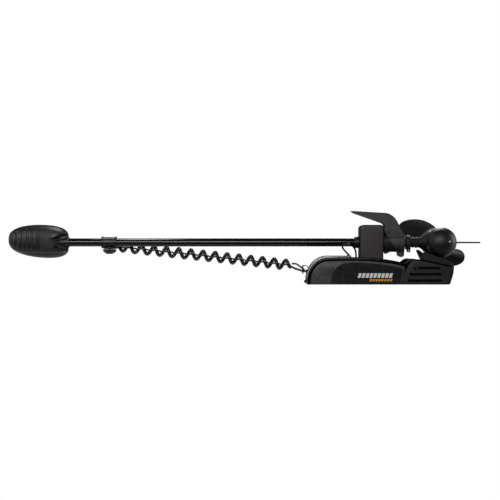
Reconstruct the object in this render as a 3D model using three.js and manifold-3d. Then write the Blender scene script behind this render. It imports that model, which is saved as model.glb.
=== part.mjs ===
// Bow-mount trolling motor with power steering, stowed on its mount.
// Units are millimetres. +X points to the bow, +Y to port and +Z up.
// The origin is the centre of the mount's underside.

import * as THREE from 'three';
import { mergeVertices } from 'three/addons/utils/BufferGeometryUtils.js';
import Module from 'manifold-3d';

const wasm = await Module();
wasm.setup();

// Mount
const mountLength = 475;
const mountHalfWidth = 70;
const basePlateThickness = 5;
const sidePlateInner = 38;
const sidePlateOuter = 42;
const coverInner = 43;
const coverSkin = 3;
const coverHeight = 86.5;
const coverJointX = 64;
const deckHoleRadius = 4.2;

// Tilt pivot at the bow end, and the release lever at the other end
const pivotX = 222.8;
const pivotZ = 31;
const pivotPinRadius = 6;
const leverPinX = -205;
const leverPinZ = 12;
const leverPinRadius = 3;

// Swing channel and its fairing
const channelHalfWidth = 33;
const channelWall = 4;
const channelTop = 66;
const fairingHalfWidth = 37;
const fairingTop = 93;

// Column
const shaftZ = 136;
const shaftRadius = 13.3;
const shaftBore = 10.5;
const shaftEndX = 142;
const headTipX = -1210;
const headWideX = -1094.5;
const headEndX = -1013;
const headHalfHeight = 54;
const headHalfWidth = 46;
const headSkin = 3;
const headJointZ = 104;
const headRise = 0.045;

// Depth collar
const collarX = -906;
const collarLength = 49;
const collarFlangeRadius = 20;

// Steering unit
const caseFromX = -64;
const caseToX = 12;
const caseTop = 193;
const caseHalfWidth = 41;
const caseSkin = 3;
const outputTubeRadius = 31;
const outputTubeToX = 80;
const gearModule = 1.5;
const gearTeeth = 40;
const pinionTeeth = 10;
const gearBacklash = 0.35;
const gearFromX = -45;
const gearToX = -30;

// Motor
const motorX = 200.5;
const motorRadius = 48.3;
const motorWall = 3.5;
const noseTipY = -78;
const housingFromY = -38;
const housingToY = 118;
const rearCapToY = 160;
const propellerY = 190;
const propellerRadius = 127;
const bladeRoot = 20;
const rotorShaftRadius = 6;
const skegThickness = 5;

// Cords
const coilRadius = 19.5;
const coilStart = new THREE.Vector3(-854.5, 34, 123);
const coilEnd = new THREE.Vector3(-285, 20, 62);
const leadRadius = 4.5;
const upperStrandRadius = 2.9;
const lowerStrandRadius = 3.4;
const steeringCableRadius = 2.5;

// Two faces that touch keep this gap
const gap = 0.3;

const material = (color, roughness, metalness) =>
  new THREE.MeshStandardMaterial({ color, roughness, metalness });

const glossBlack = material(0x0c0c0d, 0.25, 0.0);
const satinBlack = material(0x141415, 0.45, 0.0);
const charcoal = material(0x3a3637, 0.6, 0.0);
const bronzeGrey = material(0x55504f, 0.55, 0.1);
const rubberBlack = material(0x101010, 0.8, 0.0);
const aluminium = material(0xb4b6b8, 0.35, 0.9);
const steel = material(0x9c9ea0, 0.3, 1.0);
const brass = material(0xb08d57, 0.35, 1.0);
const magnetGrey = material(0x4b4b50, 0.6, 0.4);
const copper = material(0xa5623a, 0.35, 0.9);
const boardGreen = material(0x1f5a36, 0.5, 0.0);

// ---------- shape helpers ----------

function signedVolume(geometry) {
  const position = geometry.attributes.position;
  const index = geometry.index.array;
  const a = new THREE.Vector3();
  const b = new THREE.Vector3();
  const c = new THREE.Vector3();
  let sum = 0;
  for (let i = 0; i < index.length; i += 3) {
    a.fromBufferAttribute(position, index[i]);
    b.fromBufferAttribute(position, index[i + 1]);
    c.fromBufferAttribute(position, index[i + 2]);
    sum += a.dot(b.cross(c));
  }
  return sum / 6;
}

// Merges shared vertices, drops triangles with no area and turns the faces outward.
function closed(geometry) {
  const bare = geometry.clone();
  bare.deleteAttribute('normal');
  bare.deleteAttribute('uv');
  const merged = mergeVertices(bare, 1e-3);
  const source = merged.index.array;
  const kept = [];
  for (let i = 0; i < source.length; i += 3) {
    const corners = [source[i], source[i + 1], source[i + 2]];
    if (new Set(corners).size === 3) {
      kept.push(...corners);
    }
  }
  merged.setIndex(kept);
  if (signedVolume(merged) < 0) {
    merged.setIndex(kept.reverse());
  }
  return merged;
}

function toManifold(geometry) {
  const mesh = closed(geometry);
  return new wasm.Manifold(
    new wasm.Mesh({
      numProp: 3,
      vertProperties: new Float32Array(mesh.attributes.position.array),
      triVerts: new Uint32Array(mesh.index.array),
    }),
  );
}

function fromManifold(manifold) {
  const mesh = manifold.getMesh();
  const geometry = new THREE.BufferGeometry();
  geometry.setAttribute('position', new THREE.BufferAttribute(new Float32Array(mesh.vertProperties), 3));
  geometry.setIndex(Array.from(mesh.triVerts));
  return geometry;
}

function cut(geometry, ...tools) {
  const result = tools.reduce((left, tool) => left.subtract(toManifold(tool)), toManifold(geometry));
  return fromManifold(result);
}

function join(geometry, ...others) {
  const result = others.reduce((whole, other) => whole.add(toManifold(other)), toManifold(geometry));
  return fromManifold(result);
}

function common(geometry, other) {
  return fromManifold(toManifold(geometry).intersect(toManifold(other)));
}

function mirrored(geometry) {
  return closed(geometry.clone().scale(1, -1, 1));
}

function box(x0, x1, y0, y1, z0, z1) {
  const geometry = new THREE.BoxGeometry(x1 - x0, y1 - y0, z1 - z0);
  return geometry.translate((x0 + x1) / 2, (y0 + y1) / 2, (z0 + z1) / 2);
}

// An outline in the XZ plane, extruded along Y.
function slab(outline, fromY, toY, curveSegments = 8) {
  const options = { depth: toY - fromY, bevelEnabled: false, curveSegments };
  return new THREE.ExtrudeGeometry(outline, options).rotateX(Math.PI / 2).translate(0, toY, 0);
}

// An outline in the YZ plane, extruded along X.
function prismX(outline, fromX, toX, curveSegments = 8) {
  const options = { depth: toX - fromX, bevelEnabled: false, curveSegments };
  const geometry = new THREE.ExtrudeGeometry(outline, options);
  return geometry.rotateX(Math.PI / 2).rotateZ(Math.PI / 2).translate(fromX, 0, 0);
}

function polygon(points) {
  return new THREE.Shape(points.map(([a, b]) => new THREE.Vector2(a, b)));
}

// A profile of [distance along the axis, radius], turned about the axis.
function lathe(profile, segments) {
  const points = profile.map(([along, radius]) => new THREE.Vector2(radius, along));
  if (profile[0][1] > 0) {
    points.push(points[0].clone());
  }
  return new THREE.LatheGeometry(points, segments);
}

function turnedX(profile, segments, y = 0, z = shaftZ) {
  return lathe(profile, segments).rotateZ(-Math.PI / 2).translate(0, y, z);
}

function turnedY(profile, segments, x, z) {
  return lathe(profile, segments).translate(x, 0, z);
}

function turnedZ(profile, segments, x, y) {
  return lathe(profile, segments).rotateX(Math.PI / 2).translate(x, y, 0);
}

function rod(from, to, radius) {
  return [[from, 0], [from, radius], [to, radius], [to, 0]];
}

function ring(from, to, inner, outer) {
  return [[from, inner], [from, outer], [to, outer], [to, inner]];
}

function tubeAlong(points, radius, sides, steps) {
  const section = new THREE.Shape();
  for (let i = 0; i < sides; i += 1) {
    const angle = (2 * Math.PI * i) / sides;
    const corner = [radius * Math.cos(angle), radius * Math.sin(angle)];
    if (i === 0) {
      section.moveTo(...corner);
    } else {
      section.lineTo(...corner);
    }
  }
  const path = new THREE.CatmullRomCurve3(points.map((p) => new THREE.Vector3(...p)), false, 'centripetal');
  return new THREE.ExtrudeGeometry(section, { steps, bevelEnabled: false, extrudePath: path });
}

const group = new THREE.Group();

function piece(name, geometry, surface) {
  const mesh = new THREE.Mesh(closed(geometry), surface);
  mesh.name = name;
  group.add(mesh);
}

function pair(name, starboardGeometry, surface) {
  piece(`starboard_${name}`, starboardGeometry, surface);
  piece(`port_${name}`, mirrored(starboardGeometry), surface);
}

// ---------- mount ----------

const mountRearX = -mountLength / 2;
const mountFrontX = mountLength / 2;

function basePlate() {
  const plate = box(mountRearX + 11.5, mountFrontX - 22, -64, 64, 0, basePlateThickness);
  const holes = [];
  for (const x of [-150, 0, 150]) {
    for (const y of [-54, 54]) {
      holes.push(turnedZ(rod(-1, basePlateThickness + 1, deckHoleRadius), 12, x, y));
    }
  }
  return cut(plate, ...holes);
}

function sidePlate() {
  const outline = new THREE.Shape();
  outline.moveTo(-215, basePlateThickness + gap);
  outline.lineTo(-215, 35);
  outline.lineTo(-190, 52);
  outline.lineTo(100, 52);
  outline.lineTo(pivotX - 6, pivotZ + 10);
  outline.absarc(pivotX, pivotZ, 11, 2.1, -Math.PI / 2 + 0.3, true);
  outline.lineTo(pivotX, basePlateThickness + gap);
  const plate = slab(outline, -sidePlateOuter, -sidePlateInner);
  const pinHole = turnedY(rod(-60, -20, pivotPinRadius + gap), 16, pivotX, pivotZ);
  const leverHole = turnedY(rod(-60, -20, leverPinRadius + gap), 12, leverPinX, leverPinZ);
  return cut(plate, pinHole, leverHole);
}

// The rear cover's shoulder is a quarter of a superellipse.
const shoulderWidth = 74.5;
const shoulderPower = 2.3;

// The rear cover's outline, smaller by inset, with its joint to the front cover at the right.
function rearCoverOutline(inset, low, jointShift) {
  const wide = shoulderWidth - inset;
  const tall = coverHeight - inset;
  const shoulderX = mountRearX + shoulderWidth;
  const steps = 12;
  const outline = new THREE.Shape();
  outline.moveTo(shoulderX - wide, low);
  for (let i = 0; i <= steps; i += 1) {
    const angle = ((i / steps) * Math.PI) / 2;
    const across = Math.cos(angle) ** (2 / shoulderPower);
    const up = Math.sin(angle) ** (2 / shoulderPower);
    outline.lineTo(shoulderX - wide * across, tall * up);
  }
  outline.quadraticCurveTo(-10, tall + 7, 76 + jointShift, 69.5 - inset);
  outline.quadraticCurveTo(81 + jointShift, 40, coverJointX + jointShift, low);
  return outline;
}

function rearCover() {
  const outer = slab(rearCoverOutline(0, 0, -gap), -mountHalfWidth, -coverInner, 12);
  const hollow = slab(rearCoverOutline(coverSkin, -1, 20), coverSkin - mountHalfWidth, 1 - coverInner, 12);
  return cut(outer, hollow);
}

function frontCoverOutline(inset, low, jointShift) {
  const outline = new THREE.Shape();
  outline.moveTo(coverJointX + jointShift, low);
  outline.quadraticCurveTo(81 + jointShift, 40, 76 + jointShift, 69.5 - inset);
  outline.quadraticCurveTo(86 + jointShift, 82 - inset, 100, 84 - inset);
  outline.lineTo(141, 79 - inset);
  outline.lineTo(236.7 - inset, 58.3 - inset);
  outline.lineTo(234.2 - inset, 35);
  outline.lineTo(224.5 - inset, 3);
  outline.lineTo(220 - inset, low);
  return outline;
}

function frontCover() {
  const outer = slab(frontCoverOutline(0, 0, gap), -mountHalfWidth, -coverInner, 6);
  const hollow = slab(frontCoverOutline(coverSkin, -1, -20), coverSkin - mountHalfWidth, 1 - coverInner, 6);
  const grooves = [];
  for (const [fromX, toX, z] of [[118, 192, 53], [92, 196, 33], [86, 196, 13]]) {
    grooves.push(box(fromX, toX, -mountHalfWidth - 1, 1.6 - mountHalfWidth, z - 2.5, z + 2.5));
  }
  return cut(outer, hollow, ...grooves);
}

// Wedges on the front covers' tops, with their slopes just clear of the stowed motor.
const rampSlope = [[150, 102.5], [238, 69], [236.5, 59.1]];

function starboardRamp() {
  const outline = polygon([[140, 79.5], [140, 104.6], [144, 105], ...rampSlope]);
  return slab(outline, -mountHalfWidth + 2, -coverInner);
}

// The port ramp has a lip that leans back beside the column's neck.
function portRamp() {
  const outline = polygon([[144.5, 79], [138, 92.7], [133.5, 103], [131, 112], [138, 112], ...rampSlope]);
  return slab(outline, coverInner, mountHalfWidth - 2);
}

piece('base_plate', basePlate(), aluminium);
pair('side_plate', sidePlate(), aluminium);
pair('rear_cover', rearCover(), glossBlack);
pair('front_cover', frontCover(), charcoal);
piece('starboard_motor_ramp', starboardRamp(), rubberBlack);
piece('port_motor_ramp', portRamp(), rubberBlack);
piece('pivot_pin', turnedY(rod(-47, 47, pivotPinRadius), 16, pivotX, pivotZ), steel);
piece('lever_pin', turnedY(rod(-42.5, 42.5, leverPinRadius), 12, leverPinX, leverPinZ), steel);
const springRing = ring(28.9, 32.6, leverPinRadius + gap, leverPinRadius + 2.6);
piece('lever_spring', turnedY(springRing, 12, leverPinX, leverPinZ), steel);

// ---------- release lever ----------

const latchBarX = -190;
const latchBarZ = 30;
const latchBarRadius = 4;

function releaseLever() {
  const arm = box(mountRearX + 4, leverPinX, -22, 22, leverPinZ - 4, leverPinZ + 1);
  const pedal = box(mountRearX - 5.5, mountRearX + 10, -28, 28, leverPinZ - 7, leverPinZ + 1);
  const eye = turnedY(rod(-26, 26, 6.2), 14, leverPinX, leverPinZ);
  const nose = polygon([
    [leverPinX - 4, leverPinZ],
    [leverPinX - 4, latchBarZ + 9],
    [latchBarX - latchBarRadius - 1.2, latchBarZ + 7],
    [latchBarX - latchBarRadius - 1.2, latchBarZ + 3],
    [leverPinX + 5, latchBarZ],
    [leverPinX + 5, leverPinZ],
  ]);
  const whole = join(arm, pedal, eye, slab(nose, -12, 12));
  return cut(whole, turnedY(rod(-40, 40, leverPinRadius + gap), 14, leverPinX, leverPinZ));
}

piece('release_lever', releaseLever(), satinBlack);

// ---------- swing channel ----------

function swingChannel() {
  const outline = new THREE.Shape();
  outline.moveTo(-195, 17);
  outline.lineTo(-195, channelTop);
  outline.lineTo(198, channelTop);
  outline.lineTo(pivotX + 6, pivotZ + 14);
  outline.absarc(pivotX, pivotZ, 15, 1.1, -Math.PI / 2, true);
  const outer = slab(outline, -channelHalfWidth, channelHalfWidth);
  const inside = channelHalfWidth - channelWall;
  const hollow = box(-200, 260, -inside, inside, 0, channelTop - channelWall);
  const bushHole = turnedY(rod(-60, 60, 9 + gap), 16, pivotX, pivotZ);
  return cut(outer, hollow, bushHole);
}

function fairingOutline(inset, low) {
  const centreX = -168;
  const outline = new THREE.Shape();
  outline.moveTo(centreX - 71 + inset, low);
  outline.absellipse(centreX, 12, 71 - inset, fairingTop - 12 - inset, Math.PI - 0.08, Math.PI / 2, true);
  outline.lineTo(-92 - inset, fairingTop - inset);
  outline.lineTo(-92 - inset, low);
  return outline;
}

const glandX = -232.5;
const glandZ = 42;

function swingFairing() {
  const inner = fairingHalfWidth - coverSkin;
  const outer = slab(fairingOutline(0, 18), -fairingHalfWidth, fairingHalfWidth);
  const hollow = slab(fairingOutline(coverSkin, 10), -inner, inner);
  const mouth = box(-100, -80, -inner, inner, 10, channelTop + gap);
  const glandHole = turnedX(rod(glandX - 20, glandX + 20, 8 + gap), 16, 0, glandZ);
  return cut(outer, hollow, mouth, glandHole);
}

piece('swing_channel', swingChannel(), aluminium);
piece('swing_fairing', swingFairing(), aluminium);
pair('pivot_bush', turnedY(ring(-37.4, -28, pivotPinRadius + gap, 9), 16, pivotX, pivotZ), brass);
piece('latch_bar', turnedY(rod(-28.7, 28.7, latchBarRadius), 12, latchBarX, latchBarZ), steel);

// ---------- steering unit ----------

function caseOutline(inset) {
  const x0 = caseFromX + inset;
  const x1 = caseToX - inset;
  const top = caseTop - inset;
  const outline = new THREE.Shape();
  outline.moveTo(x0, channelTop + gap + inset);
  outline.lineTo(x0 + inset / 3, top - 14);
  outline.quadraticCurveTo(x0 + 1, top, x0 + 14, top);
  outline.lineTo(x1 - 11, top);
  outline.quadraticCurveTo(x1, top, x1, top - 11);
  outline.lineTo(x1, channelTop + gap + inset);
  return outline;
}

function steeringCase() {
  const outer = slab(caseOutline(0), -caseHalfWidth, -gap / 2);
  const hollow = slab(caseOutline(caseSkin), coverSkin - caseHalfWidth, 1);
  const rearHole = turnedX(rod(caseFromX - 10, caseFromX + 10, 15.6), 24);
  const frontHole = turnedX(rod(caseToX - 10, caseToX + 10, outputTubeRadius + gap), 28);
  return cut(outer, hollow, rearHole, frontHole);
}

function upperBush() {
  const bore = shaftRadius + gap;
  return turnedX([[-79, bore], [-79, 18.7], [-66, 18.7], [-66, 15.3], [-58, 15.3], [-58, bore]], 24);
}

function outputTube() {
  const bore = outputTubeRadius - 3.5;
  const profile = [[4, bore], [4, 35], [8.6, 35], [8.6, outputTubeRadius]];
  return turnedX([...profile, [outputTubeToX, outputTubeRadius], [outputTubeToX, bore]], 28);
}

function lowerBush() {
  const bore = shaftRadius + gap;
  const flange = outputTubeRadius - 3.5 - gap;
  const end = outputTubeToX + 0.5;
  return turnedX([[60, bore], [60, flange], [end, flange], [end, 16], [109.5, 16], [109.5, bore]], 24);
}

const pinionZ = shaftZ - (gearModule * (gearTeeth + pinionTeeth)) / 2 - gearBacklash;

function steeringMotor() {
  const profile = [[-26, 0], [-26, 6], [-24, 6], [-24, 16.5], [0, 16.5], [0, 6], [3, 6], [3, 0]];
  return turnedX(profile, 20, 0, pinionZ);
}

pair('steering_case', steeringCase(), charcoal);
piece('upper_bush', upperBush(), satinBlack);
piece('output_tube', outputTube(), satinBlack);
piece('lower_bush', lowerBush(), bronzeGrey);
piece('steering_motor', steeringMotor(), steel);

// Spur gear outline: tooth flanks as straight lines between three radii.
function gearOutline(teeth, boreRadius) {
  const pitch = (gearModule * teeth) / 2;
  const step = (2 * Math.PI) / teeth;
  const corners = [
    [pitch - 1.25 * gearModule, -0.32],
    [pitch, -0.235],
    [pitch + gearModule, -0.12],
    [pitch + gearModule, 0.12],
    [pitch, 0.235],
    [pitch - 1.25 * gearModule, 0.32],
  ];
  const points = [];
  for (let tooth = 0; tooth < teeth; tooth += 1) {
    for (const [radius, share] of corners) {
      const angle = (tooth + share) * step;
      points.push(new THREE.Vector2(radius * Math.cos(angle), radius * Math.sin(angle)));
    }
  }
  const outline = new THREE.Shape(points);
  outline.holes.push(new THREE.Path().absarc(0, 0, boreRadius, 0, 2 * Math.PI, true));
  return outline;
}

function gear(teeth, boreRadius, centreZ, turn) {
  const geometry = prismX(gearOutline(teeth, boreRadius), gearFromX, gearToX, 12);
  return geometry.rotateX(turn).translate(0, 0, centreZ);
}

// A tooth of the gear points down, and a gap of the pinion points up to it.
const gearTurn = -Math.PI / 2;
const pinionTurn = Math.PI / 2 + Math.PI / pinionTeeth;
piece('output_gear', gear(gearTeeth, shaftRadius + gap, shaftZ, gearTurn), brass);
piece('drive_pinion', gear(pinionTeeth, 3, pinionZ, pinionTurn), steel);

// ---------- stow horn around the output tube ----------

function hornOutline() {
  const outline = new THREE.Shape();
  outline.moveTo(-92.5, 239);
  outline.lineTo(24, 232);
  outline.quadraticCurveTo(53, 225, 63, 192);
  outline.lineTo(75, 168.5);
  outline.lineTo(82, 161);
  outline.lineTo(82, 98);
  outline.quadraticCurveTo(82, 88, 72, 88);
  outline.lineTo(63, 92);
  outline.lineTo(59.5, 97);
  outline.lineTo(61, 100.5);
  outline.lineTo(48.5, 121);
  outline.lineTo(24, 156);
  outline.lineTo(16, 172);
  outline.lineTo(15.5, 183);
  outline.quadraticCurveTo(21, 193, 11, 199);
  outline.lineTo(-14, 208);
  outline.lineTo(-83, 231.5);
  return outline;
}

function horn() {
  const plate = slab(hornOutline(), -36, -gap / 2);
  const front = polygon([[10, 60], [-36, 60], [-36, 181], [-15, 248], [10, 248]]);
  const shaped = common(plate, prismX(front, -120, 100));
  return cut(shaped, turnedX(rod(-120, 100, outputTubeRadius + gap), 28));
}

function clampRing() {
  const whole = join(turnedX(ring(88, 103.5, 16.3, 24), 24), box(92, 103.5, -6, 6, 104, 116));
  return cut(whole, turnedX(rod(80, 110, 16.3), 24));
}

pair('horn', horn(), charcoal);
piece('horn_screw', turnedY(rod(-37.9, -36.3, 3), 12, 28, 171.5), steel);
piece('clamp_ring', clampRing(), satinBlack);
piece('clamp_screw', turnedY(rod(-10.5, -6.3, 3.2), 12, 97.5, 108.3), steel);

// ---------- cords fixed to the swing ----------

const steeringCableRoute = [
  [-100, -12, 97.6],
  [-107, -15, 104],
  [-115, -19, 112.5],
  [-120, -22.5, 121],
  [-113, -24, 130],
  [-98, -24, 130],
  [-86, -22, 123],
  [-78, -20, 111],
  [-75, -15, 92],
  [-74, -12, 67],
];
const tailRoute = [[-283, 19, 66.5], [-269, 15, 65.5], [-258, 10, 58.5], [-248, 5, 50], [-241, 3.5, 45.4]];
const tailWireRoute = [[-284, 19, 57], [-273, 17, 50.5], [-260, 9, 46.5], [-250, 0, 43], [-240.5, -4.2, 41]];

function cableTie() {
  return turnedX(ring(-250, -246, 11, 12.6), 16, 2.5, 46.5);
}

function cordGland() {
  return turnedX(rod(-239, -229.5, 7.9), 16, 0, glandZ);
}

piece('steering_cable', tubeAlong(steeringCableRoute, steeringCableRadius, 8, 28), rubberBlack);
piece('cable_clip', box(-105, -94, -17, -7, fairingTop + gap, fairingTop + 2), satinBlack);
piece('cord_gland', cordGland(), rubberBlack);
piece('cord_tail', tubeAlong(tailRoute, upperStrandRadius, 8, 10), rubberBlack);
piece('tail_wire', tubeAlong(tailWireRoute, lowerStrandRadius, 8, 10), rubberBlack);
piece('cable_tie', cableTie(), satinBlack);

function coilCord() {
  return tubeAlong([coilStart.toArray(), coilEnd.toArray()], coilRadius, 12, 12);
}

piece('coil_cord', coilCord(), rubberBlack);

// ---------- depth collar ----------

const knobX = collarX + 26;
const knobTop = 114;
const cordClipX = -902.3;

function depthCollar() {
  const end = collarX + collarLength;
  const profile = [
    [collarX, shaftRadius + gap],
    [collarX, collarFlangeRadius],
    [collarX + 5, collarFlangeRadius],
    [collarX + 6, 17.6],
    [end - 6, 17.6],
    [end - 5, collarFlangeRadius],
    [end, collarFlangeRadius],
    [end, shaftRadius + gap],
  ];
  return cut(turnedX(profile, 24), turnedZ(rod(100, 124, 4 + gap), 12, knobX, 0));
}

function collarKnob() {
  const lobes = 6;
  const outline = new THREE.Shape();
  for (let i = 0; i < lobes * 6; i += 1) {
    const angle = (2 * Math.PI * i) / (lobes * 6);
    const radius = 20.5 + 1.6 * Math.cos(lobes * angle);
    const corner = [radius * Math.cos(angle), radius * Math.sin(angle)];
    if (i === 0) {
      outline.moveTo(...corner);
    } else {
      outline.lineTo(...corner);
    }
  }
  const head = new THREE.ExtrudeGeometry(outline, { depth: 16, bevelEnabled: false });
  return join(head.translate(knobX, 0, knobTop - 16), turnedZ(rod(knobTop - 2, 122, 4), 12, knobX, 0));
}

piece('depth_collar', depthCollar(), satinBlack);
piece('cord_clip', box(cordClipX, coilStart.x - 2.5, 21, 44, 115, 146), satinBlack);
piece('collar_knob', collarKnob(), satinBlack);

// ---------- column ----------

// The head's half height at x, as a share of its greatest.
function headShare(x) {
  if (x < headWideX) {
    const u = Math.min((headWideX - x) / (headWideX - headTipX), 1);
    return (1 - u ** 2) ** (1 / 2.7);
  }
  const u = Math.min((x - headWideX) / (headEndX - headWideX), 1);
  return (1 - u ** 2.5) ** (1 / 4);
}

// The head's middle rises toward its tip, by headRise for each millimetre.
function headSolid(inset) {
  const steps = 11;
  const from = headTipX + inset;
  const to = headEndX - inset;
  const scale = (headHalfHeight - inset) / headHalfHeight;
  const profile = [];
  for (let i = 0; i <= steps; i += 1) {
    const t = i / steps;
    const x = headWideX + (from - headWideX) * Math.cos((t * Math.PI) / 2);
    const original = headTipX + ((x - from) * (headWideX - headTipX)) / (headWideX - from);
    profile.push([x, headHalfHeight * scale * headShare(original)]);
  }
  for (let i = 1; i <= steps; i += 1) {
    const x = headWideX + (to - headWideX) * Math.sin(((i / steps) * Math.PI) / 2);
    const original = headWideX + ((x - headWideX) * (headEndX - headWideX)) / (to - headWideX);
    profile.push([x, headHalfHeight * scale * headShare(original)]);
  }
  profile[0][1] = 0;
  profile[profile.length - 1][1] = 0;
  const shape = turnedX(profile, 24, 0, 0).scale(1, headHalfWidth / headHalfHeight, 1);
  const shear = new THREE.Matrix4().makeShear(0, -headRise, 0, 0, 0, 0);
  return shape.applyMatrix4(shear).translate(0, 0, shaftZ + headRise * headEndX);
}

function headShell(low, high) {
  const half = box(headTipX - 5, headEndX + 5, -60, 60, low, high);
  const shell = cut(headSolid(0), headSolid(headSkin));
  const shaftHole = turnedX(rod(-1070, -1000, shaftRadius + gap), 24);
  const glandHole = turnedX(rod(-1040, -1000, 8 + gap), 16, 22.5, shaftZ);
  return cut(common(shell, half), shaftHole, glandHole);
}

function neckRing() {
  const bore = shaftRadius + gap / 2;
  const profile = [[110.5, bore], [110.5, 17.5], [114, 17.5], [115, 16], [119, 16], [120, 18]];
  return turnedX([...profile, [125, 18], [126, 16.5], [129, 16.5], [129, bore]], 24);
}

function motorNeck() {
  const bore = shaftRadius + gap;
  const flare = [[129.3, bore], [129.3, 16], [134, 18], [142, 23], [152, 30], [163, 37.5], [172, 41], [172, bore]];
  return cut(turnedX(flare, 28), turnedY(rod(-80, 80, motorRadius + gap), 40, motorX, shaftZ));
}

piece('shaft_tube', turnedX(ring(-1062, shaftEndX, shaftBore, shaftRadius), 24), glossBlack);
piece('head_lower_shell', headShell(60, headJointZ), satinBlack);
piece('head_upper_shell', headShell(headJointZ + gap, 210), satinBlack);
piece('circuit_board', box(-1170, -1072, -32, 32, 128, 129.6), boardGreen);
piece('head_gland', turnedX(rod(-1026, -1009, 7.9), 16, 22.5, shaftZ), rubberBlack);
const headLeadRoute = [[-1008.7, 23, 136], [-960, 25.5, 136], [cordClipX - gap, 28, 136]];
piece('head_lead', tubeAlong(headLeadRoute, leadRadius, 8, 12), rubberBlack);
piece('neck_ring', neckRing(), bronzeGrey);
piece('motor_neck', motorNeck(), satinBlack);

// ---------- motor ----------

function turnedMotor(profile, segments = 36) {
  return turnedY(profile, segments, motorX, shaftZ);
}

function noseCap() {
  const steps = 8;
  const outer = [];
  const inner = [];
  for (let i = 0; i <= steps; i += 1) {
    const angle = ((i / steps) * Math.PI) / 2;
    const depth = housingFromY - gap - noseTipY;
    outer.push([housingFromY - gap - depth * Math.cos(angle), motorRadius * Math.sin(angle)]);
    const innerDepth = depth - motorWall;
    inner.unshift([housingFromY - gap - innerDepth * Math.cos(angle), (motorRadius - motorWall) * Math.sin(angle)]);
  }
  outer[0][1] = 0;
  inner[inner.length - 1][1] = 0;
  return turnedMotor([...outer, ...inner]);
}

function rearCap() {
  const from = housingToY + gap;
  const bore = 9;
  return turnedMotor([
    [from, motorRadius],
    [from + 12, 46.5],
    [from + 28, 39],
    [rearCapToY, 29],
    [rearCapToY, bore],
    [rearCapToY - 8, bore],
    [rearCapToY - 8, 24],
    [from + 22, 34],
    [from, motorRadius - motorWall],
  ]);
}

function magnet(centreAngle) {
  const outer = motorRadius - motorWall - gap;
  const half = 1.1;
  const outline = new THREE.Shape();
  outline.absarc(0, 0, outer, centreAngle - half, centreAngle + half, false);
  outline.absarc(0, 0, outer - 6, centreAngle + half, centreAngle - half, true);
  return slab(outline, 0, 70, 8).translate(motorX, 0, shaftZ);
}

function armature() {
  const bore = rotorShaftRadius + gap;
  const windings = [[-4, 22], [2, 29], [6, 29], [6, 34], [64, 34], [64, 29], [68, 29], [74, 22]];
  const commutator = [[-20, bore], [-20, 13], [-5, 13], [-4, 16]];
  return turnedMotor([...commutator, ...windings, [76, bore]], 24);
}

function rotorShaft() {
  return turnedMotor(rod(-55, 206, rotorShaftRadius), 16);
}

function shaftSeal() {
  return turnedMotor(ring(rearCapToY - 7, rearCapToY + 1, rotorShaftRadius + gap, 8.7), 16);
}

// A flat box bent into a blade, whose chord swings back and narrows toward a rounded tip.
function propellerBlade(turn) {
  const tipAngle = (152 * Math.PI) / 180;
  const sweep = Math.PI / 3;
  const blade = new THREE.BoxGeometry(1, 1, 1, 12, 4, 1);
  const position = blade.attributes.position;
  for (let i = 0; i < position.count; i += 1) {
    const along = Math.sin(((position.getX(i) + 0.5) * Math.PI) / 2);
    const across = position.getY(i) * 2;
    const radius = bladeRoot + (propellerRadius - bladeRoot) * along;
    const widening = 0.5 + 0.5 * Math.min(1, along / 0.3);
    const chord = across * 38 * widening * Math.sqrt(1 - Math.min(along, 0.995) ** 5);
    const angle = turn + tipAngle - sweep * (1 - along) ** 1.6 + chord / radius;
    const rise = chord * (0.55 - 0.275 * along) + position.getZ(i) * (5 - 2.8 * along);
    position.setXYZ(i, radius * Math.cos(angle), rise, radius * Math.sin(angle));
  }
  return blade.translate(motorX, propellerY, shaftZ);
}

function propeller() {
  const hub = turnedMotor([[167, 6.5], [167, 24], [185, 24], [197, 19], [202, 12], [202, 6.5]], 24);
  const whole = join(hub, propellerBlade(0), propellerBlade(Math.PI));
  return cut(whole, turnedMotor(rod(150, 215, rotorShaftRadius + gap), 16));
}

function propNut() {
  return cut(turnedMotor(rod(202.4, 211, 10), 6), turnedMotor(rod(190, 215, rotorShaftRadius + gap), 16));
}

function skeg() {
  const outline = new THREE.Shape();
  outline.moveTo(motorX + motorRadius + gap, -18);
  outline.lineTo(341, 30);
  outline.quadraticCurveTo(345, 55, 339, 82);
  outline.lineTo(motorX + motorRadius + gap, 100);
  const plate = new THREE.ExtrudeGeometry(outline, { depth: skegThickness, bevelEnabled: false, curveSegments: 6 });
  return plate.translate(0, 0, shaftZ - skegThickness / 2);
}

const housing = ring(housingFromY, housingToY, motorRadius - motorWall, motorRadius);
piece('motor_housing', turnedMotor(housing), glossBlack);
piece('nose_cap', noseCap(), glossBlack);
piece('rear_cap', rearCap(), glossBlack);
piece('skeg', skeg(), glossBlack);
piece('upper_magnet', magnet(Math.PI / 2), magnetGrey);
piece('lower_magnet', magnet(-Math.PI / 2), magnetGrey);
piece('shaft_seal', shaftSeal(), rubberBlack);
piece('armature', armature(), copper);
piece('rotor_shaft', rotorShaft(), steel);
piece('propeller', propeller(), glossBlack);
piece('prop_nut', propNut(), steel);

export default group;
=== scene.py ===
"""Looks for a bow-mount trolling motor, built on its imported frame.

Shapes are worked out in millimetres and scaled to metres as each mesh is made.
+X points to the bow, +Y to port and +Z up. The camera looks along +Y.
"""

import math

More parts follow.
